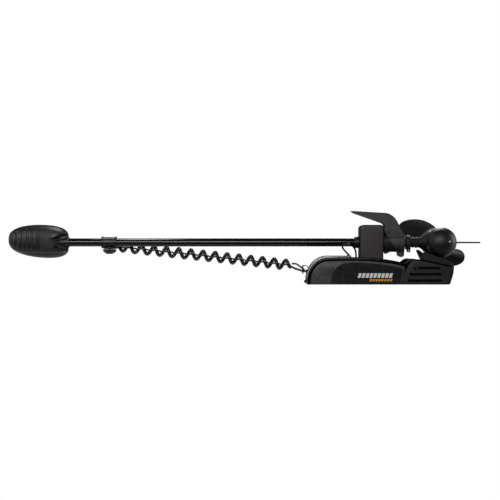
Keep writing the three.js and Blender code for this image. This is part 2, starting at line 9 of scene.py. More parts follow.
import bmesh
import bpy
import numpy as np
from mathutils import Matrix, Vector


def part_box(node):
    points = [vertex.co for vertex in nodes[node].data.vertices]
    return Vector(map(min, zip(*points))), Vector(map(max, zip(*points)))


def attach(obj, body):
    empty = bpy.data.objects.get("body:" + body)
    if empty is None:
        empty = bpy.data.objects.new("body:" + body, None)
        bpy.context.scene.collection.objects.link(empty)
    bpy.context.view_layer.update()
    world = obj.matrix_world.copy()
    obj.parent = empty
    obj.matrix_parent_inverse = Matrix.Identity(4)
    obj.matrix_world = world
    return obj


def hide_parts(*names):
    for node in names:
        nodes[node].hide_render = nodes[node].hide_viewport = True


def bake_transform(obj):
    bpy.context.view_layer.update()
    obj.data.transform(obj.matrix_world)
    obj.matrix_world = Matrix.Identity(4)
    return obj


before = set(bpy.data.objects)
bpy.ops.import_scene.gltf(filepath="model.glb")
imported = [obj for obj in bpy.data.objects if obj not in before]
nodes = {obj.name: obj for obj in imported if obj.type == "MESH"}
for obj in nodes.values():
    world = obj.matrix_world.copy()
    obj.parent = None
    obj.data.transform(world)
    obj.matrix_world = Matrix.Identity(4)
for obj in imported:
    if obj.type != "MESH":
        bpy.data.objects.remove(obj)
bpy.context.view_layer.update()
scene = bpy.context.scene
MM = 0.001
TAU = 2 * math.pi


def span(node):
    """A CAD node's lowest and highest corners in millimetres."""
    low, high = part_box(node)
    return np.array(low) / MM, np.array(high) / MM


def centre_of(node):
    low, high = span(node)
    return (low + high) / 2


# ---------- driving places, read from the frame ----------

shaft_low, shaft_high = span("shaft_tube")
SHAFT_Z = centre_of("shaft_tube")[2]
SHAFT_R = (shaft_high[2] - shaft_low[2]) / 2
housing_low, housing_high = span("motor_housing")
MOTOR_X = centre_of("motor_housing")[0]
MOTOR_R = (housing_high[0] - housing_low[0]) / 2
HOUSING_Y0 = housing_low[1]
HOUSING_Y1 = housing_high[1]
cover_low, cover_high = span("starboard_rear_cover")
HALF_WIDTH = -cover_low[1]
COVER_INNER = -cover_high[1]
MOUNT_REAR = cover_low[0]
case_low, case_high = span("starboard_steering_case")
collar_low, collar_high = span("depth_collar")
head_low, head_high = span("head_upper_shell")
NOSE_TIP = span("nose_cap")[0][1]
KNOB_X = centre_of("collar_knob")[0]
FAIRING_TOP = span("swing_fairing")[1][2]
FAIRING_HALF = span("swing_fairing")[1][1]
GLAND_Z = centre_of("cord_gland")[2]
LEVER_X, _, LEVER_Z = centre_of("lever_pin")

# ---------- camera, floor and light ----------

CAMERA_PLACE = (-0.4208, -4.0, 0.1113)
CAMERA_LENS = 88.0
# Toward the brightest part of the studio: behind the object and a little down.
BRIGHT_WAY = (0, 0.90, -0.436)
FLOOR_HALF_X = 2.4
FLOOR_HALF_Y = 1.5
FLOOR_PLACE = (-0.4, 0, -0.0006)

camera_data = bpy.data.cameras.new("camera")
camera_data.sensor_width = 36
camera_data.lens = CAMERA_LENS
camera = bpy.data.objects.new("camera", camera_data)
camera.location = CAMERA_PLACE
camera.rotation_euler = (math.pi / 2, 0, 0)
scene.collection.objects.link(camera)
scene.camera = camera
scene.view_settings.view_transform = "Standard"


def new_nodes(tree, **kinds):
    """Empties a node tree and fills it with nodes, kept by the names that they get here."""
    tree.nodes.clear()
    return {name: tree.nodes.new("ShaderNode" + kind) for name, kind in kinds.items()}


def put(node, **values):
    """Sets a node's inputs. An underscore stands for the space in an input's name."""
    for name, value in values.items():
        node.inputs[name.replace("_", " ")].default_value = value


def wire(tree, n, *links):
    """Makes links, each given as (from node, its output, to node, its input)."""
    for source, output, target, place in links:
        tree.links.new(n[source].outputs[output], n[target].inputs[place])


def mixed_by_camera_ray(tree, n, seen, share):
    """Shows the camera one shader, by share, and everything else the other."""
    n["share"].operation = "MULTIPLY"
    n["share"].inputs[1].default_value = share
    wire(tree, n,
         ("path", "Is Camera Ray", "share", 0),
         ("share", 0, "mix", 0),
         ("hidden", 0, "mix", 1),
         (seen, 0, "mix", 2),
         ("mix", 0, "out", "Surface"))


def graded(ramp, stops):
    while len(ramp.elements) < len(stops):
        ramp.elements.new(0.5)
    for element, (place, level) in zip(ramp.elements, stops, strict=True):
        element.position = place
        element.color = (level, level, level, 1)


def studio_world():
    """White to the camera; for light and reflections a dim studio, brighter behind the object."""
    world = bpy.data.worlds.new("studio")
    world.use_nodes = True
    tree = world.node_tree
    n = new_nodes(tree, place="TexCoord", toward="VectorMath", shift="Math", ramp="ValToRGB",
                  hidden="Background", white="Background", path="LightPath", share="Math", mix="MixShader",
                  out="OutputWorld")
    n["toward"].operation = "DOT_PRODUCT"
    n["toward"].inputs[1].default_value = BRIGHT_WAY
    n["shift"].operation = "MULTIPLY_ADD"
    n["shift"].inputs[1].default_value = 0.5
    n["shift"].inputs[2].default_value = 0.5
    graded(n["ramp"].color_ramp, [(0.0, 0.02), (0.50, 0.035), (0.82, 0.06), (0.93, 0.16), (1.0, 0.40)])
    put(n["white"], Color=(1, 1, 1, 1))
    wire(tree, n,
         ("place", "Generated", "toward", 0),
         ("toward", "Value", "shift", 0),
         ("shift", 0, "ramp", 0),
         ("ramp", "Color", "hidden", "Color"))
    mixed_by_camera_ray(tree, n, "white", 1.0)
    scene.world = world


def pale_floor():
    """White to the camera. Reflections see it pale only close under the object, so upright faces stay
    dark."""
    floor_mesh = bpy.data.meshes.new("floor")
    corners = [(x * FLOOR_HALF_X, y * FLOOR_HALF_Y, 0) for x, y in ((-1, -1), (1, -1), (1, 1), (-1, 1))]
    floor_mesh.from_pydata(corners, [], [(0, 1, 2, 3)])
    floor = bpy.data.objects.new("floor", floor_mesh)
    floor.location = FLOOR_PLACE
    scene.collection.objects.link(floor)
    surface = bpy.data.materials.new("floor")
    surface.use_nodes = True
    tree = surface.node_tree
    n = new_nodes(tree, place="TexCoord", split="SeparateXYZ", near="MapRange", ramp="ValToRGB",
                  hidden="BsdfDiffuse", glow="Emission", path="LightPath", share="Math", mix="MixShader",
                  out="OutputMaterial")
    put(n["near"], From_Min=-0.22, From_Max=0.0)
    put(n["glow"], Strength=1.04)
    graded(n["ramp"].color_ramp, [(0.0, 0.05), (0.28, 0.22), (0.60, 0.85), (1.0, 0.92)])
    wire(tree, n,
         ("place", "Object", "split", 0),
         ("split", "Y", "near", "Value"),
         ("near", "Result", "ramp", 0),
         ("ramp", "Color", "hidden", "Color"))
    mixed_by_camera_ray(tree, n, "glow", 0.97)
    floor_mesh.materials.append(surface)


def soft_light(name, place, target, size, power):
    light = bpy.data.lights.new(name, "AREA")
    light.shape = "RECTANGLE"
    light.size, light.size_y = size
    light.energy = power
    lamp = bpy.data.objects.new(name, light)
    lamp.location = place
    lamp.rotation_euler = (Vector(target) - Vector(place)).to_track_quat("-Z", "Y").to_euler()
    scene.collection.objects.link(lamp)


studio_world()
pale_floor()
soft_light("front_strip", (-0.95, -2.6, 1.20), (-0.6, 0, 0.13), (2.6, 0.9), 44)
soft_light("above_bow", (0.20, 0.6, 0.80), (0.2, 0, 0.14), (0.25, 0.25), 5.0)
soft_light("above_stern", (-0.90, 0.1, 0.95), (-1.03, 0, 0.14), (0.3, 0.3), 3.0)
soft_light("bow_side", (1.7, 0.1, 0.50), (0.2, 0, 0.14), (0.9, 0.9), 12)
soft_light("stern_side", (-2.6, -0.2, 0.6), (-1.1, 0, 0.13), (0.9, 0.9), 5)

# ---------- materials ----------


def principled(name, color, roughness, metallic=0.0, grain=(900, 0.10), tint=0.25, wander=0.07,
               worn_edge=0.0, brushed=None, specular=0.5):
    """A procedural surface: colour that drifts, roughness that wanders and a fine moulded or cast grain.

    color is one number for a grey; grain is (noise scale per metre, bump strength); brushed stretches it
    along an axis number.
    """
    if isinstance(color, float):
        color = (color,) * 3
    surface = bpy.data.materials.new(name)
    surface.use_nodes = True
    tree = surface.node_tree
    n = new_nodes(tree, place="TexCoord", stretch="Mapping", drift="TexNoise", patches="TexNoise",
                  fine="TexNoise", tones="Mix", rough="MapRange", bump="Bump", geometry="NewGeometry",
                  edge="MapRange", wear="Mix", shader="BsdfPrincipled", out="OutputMaterial")
    n["tones"].data_type = "RGBA"
    n["wear"].data_type = "RGBA"
    scale = [1.0, 1.0, 1.0]
    if brushed is not None:
        scale[brushed] = 0.02
    put(n["shader"], Metallic=metallic, Specular_IOR_Level=specular)
    put(n["drift"], Scale=9, Detail=4)
    put(n["patches"], Scale=70, Detail=5)
    put(n["fine"], Scale=grain[0], Detail=2)
    put(n["stretch"], Scale=scale)
    put(n["tones"], A=(*[c * (1 - tint) for c in color], 1), B=(*[c * (1 + tint) for c in color], 1))
    put(n["edge"], From_Min=0.53, From_Max=0.62, To_Max=worn_edge)
    put(n["wear"], B=(*[min(1, c * 2.2 + 0.05) for c in color], 1))
    put(n["rough"], From_Min=0.3, From_Max=0.7, To_Min=max(0.02, roughness - wander),
        To_Max=min(1, roughness + wander))
    put(n["bump"], Strength=grain[1], Distance=0.0003)
    wire(tree, n,
         ("place", "Object", "drift", "Vector"),
         ("place", "Object", "patches", "Vector"),
         ("place", "Object", "stretch", "Vector"),
         ("stretch", 0, "fine", "Vector"),
         ("drift", "Fac", "tones", "Factor"),
         ("geometry", "Pointiness", "edge", "Value"),
         ("edge", "Result", "wear", "Factor"),
         ("tones", "Result", "wear", "A"),
         ("wear", "Result", "shader", "Base Color"),
         ("patches", "Fac", "rough", "Value"),
         ("rough", "Result", "shader", "Roughness"),
         ("fine", "Fac", "bump", "Height"),
         ("bump", "Normal", "shader", "Normal"),
         ("shader", 0, "out", "Surface"))
    return surface


GLOSS = principled("gloss_black_plastic", 0.002, 0.14, grain=(500, 0.01), specular=0.3)
PANEL = principled("panel_grey_plastic", 0.028, 0.45, grain=(1500, 0.12), specular=0.4)
DECAL = principled("decal_film", (0.004, 0.004, 0.005), 0.34, grain=(700, 0.03), specular=0.4)
CHARCOAL = principled("charcoal_plastic", (0.011, 0.011, 0.014), 0.46, grain=(1500, 0.15), specular=0.4)
RAMP = principled("ramp_plastic", 0.010, 0.55, grain=(1300, 0.2), specular=0.35)
# Painted shade: a near-black copy of the case plastic for the faces that turn away from the flat sides.
CASE_EDGE_SHADE = principled("case_edge_painted_shade", (0.008, 0.007, 0.007), 0.5, grain=(1300, 0.1), specular=0.3)
CASE = principled("warm_charcoal_plastic", (0.042, 0.035, 0.037), 0.55, grain=(1300, 0.30), tint=0.12,
                  worn_edge=0.15)
SATIN = principled("satin_black_plastic", (0.010, 0.010, 0.011), 0.36, grain=(1200, 0.15), worn_edge=0.2)
HEAD = principled("head_plastic", (0.015, 0.015, 0.016), 0.40, grain=(1400, 0.05), wander=0.04)
# Painted reflection: a lighter copy of the head plastic for the lower shell, standing for the pale floor seen
# along the head's underside.
HEAD_LOW_LIT = principled("head_lower_painted_light", (0.026, 0.026, 0.027), 0.46, grain=(1400, 0.05), wander=0.04)
HEAD_PANEL = principled("head_panel_plastic", (0.024, 0.025, 0.031), 0.55, grain=(1000, 0.05), specular=0.4)
DULL = principled("blackened_steel", 0.10, 0.4, metallic=0.8, grain=(2000, 0.1))
BRIGHT = principled("bright_screw_steel", 0.86, 0.30, metallic=0.9, grain=(2000, 0.1), tint=0.05)
RING = principled("grey_ring_plastic", (0.024, 0.022, 0.021), 0.62, grain=(1200, 0.12), specular=0.3)
TUBE = principled("tube_plastic", (0.020, 0.017, 0.017), 0.5, grain=(1300, 0.15), specular=0.4)
SHAFT = principled("composite_shaft", 0.003, 0.17, grain=(900, 0.0), wander=0.0)
PAINT = principled("motor_enamel", (0.004, 0.004, 0.005), 0.48, grain=(600, 0.03), wander=0.04, specular=0.55)
PROP = principled("propeller_plastic", (0.024, 0.022, 0.021), 0.30, grain=(900, 0.05), wander=0.04)
RUBBER = principled("cord_jacket", (0.007, 0.007, 0.008), 0.28, grain=(1500, 0.10))
SOFT_RUBBER = principled("moulded_rubber", (0.018, 0.017, 0.017), 0.6, grain=(1600, 0.35))
COATED = principled("black_coated_aluminium", (0.018, 0.018, 0.019), 0.42, grain=(1400, 0.08))
ALUMINIUM = principled("brushed_aluminium", (0.50, 0.51, 0.52), 0.34, metallic=1.0, brushed=0,
                       grain=(2600, 0.25), tint=0.08)
FAIRING = principled("silver_fairing", (0.30, 0.30, 0.31), 0.35, metallic=0.6, grain=(1200, 0.1))
STEEL = principled("stainless_steel", (0.60, 0.60, 0.61), 0.24, metallic=1.0, grain=(2200, 0.15), tint=0.08)
BRONZE = principled("bearing_bronze", (0.45, 0.27, 0.12), 0.35, metallic=1.0, grain=(2000, 0.2))
BOARD = principled("circuit_board", (0.02, 0.13, 0.05), 0.35, grain=(400, 0.15))
MAGNET = principled("ferrite", (0.05, 0.05, 0.055), 0.6, grain=(1800, 0.4))
COPPER = principled("copper_windings", (0.55, 0.20, 0.09), 0.35, metallic=0.8, grain=(900, 0.8))
WHITE_INK = principled("white_ink", 0.82, 0.5, grain=(900, 0.05), tint=0.03)
AMBER_INK = principled("amber_ink", (0.75, 0.36, 0.03), 0.5, grain=(900, 0.05), tint=0.05)

# ---------- shape helpers ----------


def arc(centre, radius, start, end, steps):
    """Points on an arc; radius is one number or (across, up), angles are in degrees."""
    across, up = radius if isinstance(radius, tuple) else (radius, radius)
    angles = [math.radians(start + (end - start) * i / steps) for i in range(steps + 1)]
    return [(centre[0] + across * math.cos(a), centre[1] + up * math.sin(a)) for a in angles]


def bend(start, pull, end, steps):
    """Points on a quadratic curve from start to end, pulled toward one point."""
    points = []
    for i in range(steps + 1):
        t = i / steps
        weights = ((1 - t) ** 2, 2 * t * (1 - t), t**2)
        points.append(tuple(sum(w * p[k] for w, p in zip(weights, (start, pull, end))) for k in (0, 1)))
    return points


def rounded(points, radius, steps=4, loop=False):
    """A polyline with its corners replaced by small arcs. radius is one number or one for each point."""
    points = [np.array(p, float) for p in points]
    count = len(points)
    radii = list(radius) if isinstance(radius, (list, tuple)) else [radius] * count
    found = []
    for i, here in enumerate(points):
        if (not loop and i in (0, count - 1)) or radii[i] <= 0:
            found.append(tuple(here))
            continue
        before = points[i - 1] - here
        after = points[(i + 1) % count] - here
        room = 0.45 * min(np.linalg.norm(before), np.linalg.norm(after))
        reach = min(radii[i], room)
        a = here + before / np.linalg.norm(before) * reach
        b = here + after / np.linalg.norm(after) * reach
        found += bend(tuple(a), tuple(here), tuple(b), steps)
    return found


def solid(name, shape):
    """A mesh object from a shape, which is (vertices in millimetres, faces)."""
    vertices, faces = shape
    mesh = bpy.data.meshes.new(name)
    mesh.from_pydata([tuple(float(c) * MM for c in v) for v in vertices], [], faces)
    work = bmesh.new()
    work.from_mesh(mesh)
    bmesh.ops.remove_doubles(work, verts=work.verts, dist=1e-7)
    bmesh.ops.recalc_face_normals(work, faces=work.faces)
    work.to_mesh(mesh)
    work.free()
    obj = bpy.data.objects.new(name, mesh)
    scene.collection.objects.link(obj)
    return obj


def combine(obj, operation, shapes):
    """Cuts shapes out of an object's mesh (DIFFERENCE), joins them to it (UNION) or keeps what they share."""
    for shape in shapes:
        tool = solid("tool", shape)
        change = obj.modifiers.new("change", "BOOLEAN")
        change.operation = operation
        change.object = tool
        change.solver = "EXACT"
        bpy.context.view_layer.update()
        seen = obj.evaluated_get(bpy.context.evaluated_depsgraph_get())
        mesh = bpy.data.meshes.new_from_object(seen)
        obj.modifiers.clear()
        obj.data = mesh
        bpy.data.objects.remove(tool)


def piece(name, shape, surface, body, replaced=None, sharp=32, bevel=0.0, cuts=(), joins=(), keeps=()):
    """A mesh piece that rides on a body, with shapes joined to it, shared with it and cut out of it.

    replaced is the CAD node that it hides.
    """
    obj = solid(name, shape)
    combine(obj, "UNION", joins)
    combine(obj, "INTERSECT", keeps)
    combine(obj, "DIFFERENCE", cuts)
    obj.data.materials.clear()
    obj.data.materials.append(surface)
    smooth_edges(obj, bevel, sharp)
    if body:
        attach(obj, body)
    if replaced:
        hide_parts(replaced)
    return obj


def smooth_edges(obj, bevel, sharp=32):
    """Smooth shading with edges kept sharp above an angle, and a bevel in millimetres."""
    obj.data.shade_smooth()
    if bevel:
        edges = obj.modifiers.new("edges", "BEVEL")
        edges.width = bevel * MM
        edges.segments = 3
        edges.limit_method = "ANGLE"
        edges.angle_limit = math.radians(34)
        edges.harden_normals = True
    obj.data.set_sharp_from_angle(angle=math.radians(sharp))


def loft(rings, cap_start=True, cap_end=True):
    """Vertices and faces of a surface through rings of points, all with the same count."""
    count = len(rings[0])
    vertices = [p for ring in rings for p in ring]
    faces = []
    for r in range(len(rings) - 1):
        for i in range(count):
            j = (i + 1) % count
            faces.append((r * count + i, r * count + j, (r + 1) * count + j, (r + 1) * count + i))
    if cap_start:
        faces.append(tuple(range(count)))
    if cap_end:
        faces.append(tuple(range((len(rings) - 1) * count, len(rings) * count)))
    return vertices, faces


def turned(axis, centre, profile, segments=72):
    """A profile of (along, radius) points turned about an axis through centre."""
    others = [k for k in (0, 1, 2) if k != axis]
    closed = profile[0][1] > 1e-6
    rings = []
    for along, radius in profile:
        ring = []
        for i in range(segments):
            angle = TAU * i / segments
            point = [0.0, 0.0, 0.0]
            point[axis] = along
            point[others[0]] = centre[others[0]] + radius * math.cos(angle)
            point[others[1]] = centre[others[1]] + radius * math.sin(angle)
            ring.append(tuple(point))
        rings.append(ring)
    if closed:
        rings.append(rings[0])
    return loft(rings, cap_start=False, cap_end=False)


def turned_x(profile, segments=72, y=0.0, z=SHAFT_Z, round_by=0.8):
    return turned(0, (0, y, z), rounded(profile, round_by), segments)


def turned_y(profile, x, z, segments=72, round_by=0.8):
    return turned(1, (x, 0, z), rounded(profile, round_by), segments)


def turned_z(profile, x, y, segments=48, round_by=0.8):
    return turned(2, (x, y, 0), rounded(profile, round_by), segments)


def ring_profile(start, end, inner, outer):
    return [(start, inner), (start, outer), (end, outer), (end, inner)]


def rod_profile(start, end, radius):
    return [(start, 0), (start, radius), (end, radius), (end, 0)]


def rod_x(start, end, radius, segments=80, y=0.0, z=SHAFT_Z):
    """A plain round rod along X, mostly used to cut a hole."""
    return turned_x(rod_profile(start, end, radius), segments, y, z, 0)


def rod_y(start, end, radius, x, z, segments=24, round_by=0.0):
    return turned_y(rod_profile(start, end, radius), x, z, segments, round_by)


def prism(outline, y0, y1):
    """An outline of (x, z) points, extruded along Y."""
    return loft([[(x, y, z) for x, z in outline] for y in (y0, y1)])


def prism_x(outline, x0, x1):
    """An outline of (y, z) points, extruded along X."""
    return loft([[(x, y, z) for y, z in outline] for x in (x0, x1)])


def smooth_path(points, count):
    """Points at even steps on a smooth curve through the given ones."""
    given = np.array(points, float)
    padded = np.vstack([2 * given[0] - given[1], given, 2 * given[-1] - given[-2]])
    dense = []
    for i in range(len(given) - 1):
        p0, p1, p2, p3 = padded[i : i + 4]
        for t in np.linspace(0, 1, 16, endpoint=False):
            dense.append(
                0.5 * (2 * p1 + (p2 - p0) * t + (2 * p0 - 5 * p1 + 4 * p2 - p3) * t**2
                       + (3 * p1 - p0 - 3 * p2 + p3) * t**3)
            )
    dense.append(given[-1])
    dense = np.array(dense)
    along = np.concatenate([[0], np.cumsum(np.linalg.norm(np.diff(dense, axis=0), axis=1))])
    even = np.linspace(0, along[-1], count)
    return np.stack([np.interp(even, along, dense[:, k]) for k in range(3)], axis=1)


def tube(path, radius, sides):
    """A tube along a path, with a frame that turns as little as it can."""
    path = np.array(path, float)
    tangents = np.gradient(path, axis=0)
    tangents /= np.linalg.norm(tangents, axis=1)[:, None]
    normal = np.cross(tangents[0], [0.3, 0.1, 1.0])
    normal /= np.linalg.norm(normal)
    rings = []
    for centre, tangent in zip(path, tangents):
        normal = normal - tangent * normal.dot(tangent)
        normal /= np.linalg.norm(normal)
        side = np.cross(tangent, normal)
        angles = [TAU * k / sides for k in range(sides)]
        rings.append([tuple(centre + radius * (math.cos(a) * normal + math.sin(a) * side)) for a in angles])
    return loft(rings)


def block(low, high):
    x0, y0, z0 = low
    x1, y1, z1 = high
    return prism([(x0, z0), (x1, z0), (x1, z1), (x0, z1)], y0, y1)


def stadium(x0, x1, z, half):
    """The outline of a slot with round ends."""
    return arc((x0 + half, z), half, 90, 270, 8) + arc((x1 - half, z), half, -90, 90, 8)


def quarter(radius, face_y, steps=4):
    """(inset, distance) steps that round an edge over onto a face."""
    angles = [math.pi / 2 * i / steps for i in range(steps + 1)]
    return [(radius * (1 - math.cos(a)), face_y - radius * (1 - math.sin(a))) for a in angles]


def stepped(outline, steps):
    """Lofts outline(inset) along -Y through (inset, distance from the middle) steps."""
    return loft([[(x, -y, z) for x, z in outline(inset)] for inset, y in steps])


def mirrored(shape):
    vertices, faces = shape
    return [(x, -y, z) for x, y, z in vertices], faces


def both_sides(name, shape, surface, body, replaced=None, **details):
    """A starboard piece and its mirror image to port. replaced is a CAD node's name without its side."""
    made = []
    for side in ("starboard", "port"):
        turn = mirrored if side == "port" else tuple
        for key in ("cuts", "joins", "keeps"):
            if key in details:
                details[key] = [turn(part) for part in details[key]]
        hidden = f"{side}_{replaced}" if replaced else None
        made.append(piece(f"{side}_{name}", turn(shape), surface, body, hidden, **details))
    return made


def screw_shape(x, y, z, radius, height):
    """A pan-head screw that faces -Y, with its top at y, and the cross recess to cut from it."""
    profile = [(y + height, 0), (y + height, radius), (y + height * 0.35, radius * 0.98),
               (y, radius * 0.62), (y, 0)]
    head = turned(1, (x, 0, z), rounded(profile, radius * 0.3), 32)
    arm = radius * 0.12
    reach = radius * 0.55
    recess = [
        block((x - across, y - 1, z - up), (x + across, y + height * 0.45, z + up))
        for across, up in ((reach, arm), (arm, reach))
    ]
    return head, recess


# ---------- coil cord and the strand through it ----------

# The margin is a share of the coil's length, the phase is in radians, and each end closes in over the
# COIL_CLOSING-th part of the length.
COIL_START = np.array([-854.5, 34.0, 123.0])
COIL_END = np.array([-285.0, 20.0, 62.0])
COIL_OUTER = 20.2
COIL_CROWDING = 6.5
COIL_SAG = 0.8
COIL_MARGIN = 0.004
COIL_TURNS = 14.2
COIL_PHASE = 0.17
COIL_CLOSING = 40
CORD_R = 6.0
INNER_R = 2.6
INNER_DIP = 1.4


def coil_centre(t):
    """The coil's middle line. Its own weight makes it sag a little and draws its turns toward the mount."""
    even = COIL_START + (COIL_END - COIL_START) * (COIL_MARGIN + (1 - 2 * COIL_MARGIN) * t)
    return even + np.array([COIL_CROWDING * math.sin(math.pi * t), 0, -COIL_SAG])


def coil_path():
    """The helix of the coil cord, which closes in toward its middle line at both ends."""
    axis = COIL_END - COIL_START
    axis /= np.linalg.norm(axis)
    side = np.cross(axis, [0, 0, 1.0])
    side /= np.linalg.norm(side)
    up = np.cross(side, axis)
    steps = int(COIL_TURNS * 20)
    points = []
    for i in range(steps + 1):
        t = i / steps
        angle = COIL_PHASE - TAU * COIL_TURNS * t
        open_up = min(1.0, t * COIL_CLOSING, (1 - t) * COIL_CLOSING)
        reach = (COIL_OUTER - CORD_R) * (0.5 + 0.5 * open_up)
        points.append(coil_centre(t) + reach * (math.cos(angle) * side + math.sin(angle) * up))
    return np.array(points)


def inner_strand_path():
    """The thinner strand that runs through the coil, dipping a little between its turns."""
    steps = 110
    points = []
    for i in range(steps + 1):
        t = i / steps
        points.append(coil_centre(t) + np.array([0, 0, INNER_DIP * math.cos(TAU * COIL_TURNS * t)]))
    return np.array(points)


def free_cord(name, route, radius, sides, replaced=None):
    """A cord that stretches between the swing and the depth collar."""
    cord = piece(name, tube(route, radius, sides), RUBBER, None, replaced, sharp=60)
    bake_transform(cord)


free_cord("coil_cord_turns", coil_path(), CORD_R, 16, "coil_cord")
free_cord("inner_strand", inner_strand_path(), INNER_R, 12)

# ---------- mount: covers ----------

COVER_TALL = 86.5
SHOULDER_WIDE = 74.5
SHOULDER_POWER = 2.3
SHOULDER_X = MOUNT_REAR + SHOULDER_WIDE
COVER_JOINT = 64.0
COVER_SKIN = 3.0
FILM_BACK = 0.9 - HALF_WIDTH
FILM_FACE = 0.55 - HALF_WIDTH
INK_FACE = 0.30 - HALF_WIDTH


def rear_cover_outline(inset=0.0, low=0.0, shift=-0.3):
    """The rear cover's outline. inset pulls in its left and top, shift moves its joint at the right."""
    wide = SHOULDER_WIDE - inset
    tall = COVER_TALL - inset
    start = [(SHOULDER_X - wide, low)] if low < 0 else []
    shoulder = []
    for i in range(25):
        angle = math.pi / 2 * i / 24
        across, up = (c ** (2 / SHOULDER_POWER) for c in (abs(math.cos(angle)), math.sin(angle)))
        shoulder.append((SHOULDER_X - wide * across, tall * up))
    corner = (76 + shift, 69.5 - inset)
    top = bend(shoulder[-1], (-10, tall + 7), corner, 16)[1:]
    return start + shoulder + top + bend(corner, (81 + shift, 40), (COVER_JOINT + shift, low), 10)[1:]


def front_cover_outline(inset=0.0, low=0.0, shift=0.3):
    corner = (76 + shift, 69.5 - inset)
    left = bend((COVER_JOINT + shift, low), (81 + shift, 40), corner, 10)
    hump = bend(corner, (86 + shift, 82 - inset), (100, 84 - inset), 6)[1:]
    nose = [(141, 79 - inset), (236.7 - inset, 58.3 - inset), (234.2 - inset, 35), (224.5 - inset, 3)]
    return left + hump + rounded([hump[-1], *nose, (220 - inset, low)], [0, 6, 2, 5, 3, 0])[1:]


def groove_panel_outline(inset):
    points = [(67.5 + inset, 1.2 + inset), (75 + inset, 28), (83 + inset, 50), (93 + inset, 68 - inset),
              (104, 79 - inset), (141, 74 - inset), (231.5 - inset, 54.4 - inset), (229.5 - inset, 35),
              (219.5 - inset, 3.5 + inset), (215 - inset, 1.2 + inset)]
    return rounded(points, [1, 16, 16, 7, 8, 10, 4, 6, 2, 1])


def decal_outline():
    """A dark film with a rounded left edge, on the panel's right part."""
    left = bend((-161, 1.5), (-158, 62), (-112, 69.5), 12)
    top = bend((-85, 71), (0, 69.5), (70, 51.5), 10)
    return left + top + bend((70, 51.5), (74, 34), (60, 1.5), 8)[1:]


def slanted_bars(low_x, high_x, low_z, high_z, count, share):
    """A row of plain slanted bars, as one shape."""
    step = (high_x - low_x) / count
    lean = (high_z - low_z) * 0.32
    vertices, faces = [], []
    for i in range(count):
        x0 = low_x + step * i
        x1 = x0 + step * share
        outline = [(x0, low_z), (x1, low_z), (x1 + lean, high_z), (x0 + lean, high_z)]
        bar, bar_faces = prism(outline, FILM_FACE, INK_FACE)
        faces += [tuple(index + len(vertices) for index in face) for face in bar_faces]
        vertices += bar
    return vertices, faces


def mount_covers():
    rim = [(0, COVER_INNER), *quarter(4, HALF_WIDTH), (10.5, HALF_WIDTH), (11, HALF_WIDTH - 0.6), (11, 67.6)]
    hollow = prism(rear_cover_outline(COVER_SKIN, -1, 20), -66, 1 - COVER_INNER)
    both_sides("rear_cover_shell", stepped(rear_cover_outline, rim), GLOSS, "mount", "rear_cover",
               cuts=[hollow])
    panel = [(11.3, 67.3), (11.3, 68.9), (11.9, 69.2)]
    slots = [prism(rounded([(x0, z0), (x0, z1), (x1, z1), (x1, z0)], 1.4, loop=True), -75, floor_y)
             for x0, x1, z0, z1, floor_y in ((-153.5, -150.5, 33, 45, -68), (-155.1, -151.4, 31, 46, -68.2))]
    both_sides("rear_cover_panel", stepped(rear_cover_outline, panel), PANEL, "mount", cuts=slots)
    film = prism(decal_outline(), FILM_FACE, FILM_BACK)
    both_sides("panel_film", film, DECAL, "mount")
    both_sides("panel_bars_white", slanted_bars(-75, 38, 22.0, 36.5, 9, 0.74), WHITE_INK, "mount")
    both_sides("panel_bars_amber", slanted_bars(-37, 38, 10.5, 18.5, 8, 0.68), AMBER_INK, "mount")
    round_mark = turned_y([(-69.6, 0), (-69.6, 3.2), (-69.0, 3.8), (-68, 3.8), (-68, 0)], -152, 56, 28, 0.2)
    both_sides("panel_plug", round_mark, SATIN, "mount")
    for name, x, z in (("rear_cover_screw", -37, 63.5), ("rear_cover_low_screw", -205, 17)):
        head, recess = screw_shape(x, -69.9, z, 3.4, 1.6)
        both_sides(name, head, SATIN, "mount", cuts=recess)

    rim = [(0, COVER_INNER), *quarter(3, 68.4)]
    hollow = prism(front_cover_outline(COVER_SKIN, -1, -20), -65, 1 - COVER_INNER)
    both_sides("front_cover_shell", stepped(front_cover_outline, rim), GLOSS, "mount", "front_cover",
               cuts=[hollow])
    grooves = [prism(stadium(x0, x1, z, 3.9), -75, -66.4)
               for x0, x1, z in ((118, 193, 53), (92, 197, 33), (86, 197, 13))]
    sinks = [rod_y(-75, -67.6, 4.6, x, z) for x, z in ((99, 33), (110, 52), (93, 13))]
    both_sides("front_cover_panel", stepped(groove_panel_outline, [(0, 66), *quarter(1.4, HALF_WIDTH)]),
               CHARCOAL, "mount", cuts=[*grooves, *sinks])


def mount_ramps():
    """The two ramps that the motor slides onto, ribbed along their slope."""
    top_x, top_z = 150, 102.5
    slope_x, slope_z = 88, 33.5
    slope = [(top_x, top_z), (top_x + slope_x, top_z - slope_z), (236.5, 59.1)]
    near = [(140, 79.5), (140, 104.6), (144, 105), *slope]
    far = [(144.5, 79), (138, 92.7), (133.5, 103), (131, 112), (138, 112), *slope]
    ribs = []
    for i in range(9):
        along = 0.10 + 0.095 * i
        x = top_x + slope_x * along
        z = top_z - slope_z * along
        ribs.append(block((x - 1.1, -80, z - 1.2), (x + 1.1, 80, z + 6)))
    piece("starboard_ramp_pad", prism(near, 2 - HALF_WIDTH, -COVER_INNER), RAMP, "mount",
          "starboard_motor_ramp", bevel=2.0, cuts=ribs)
    piece("port_ramp_pad", prism(far, COVER_INNER, HALF_WIDTH - 2), RAMP, "mount", "port_motor_ramp",
          bevel=2.0, cuts=ribs)


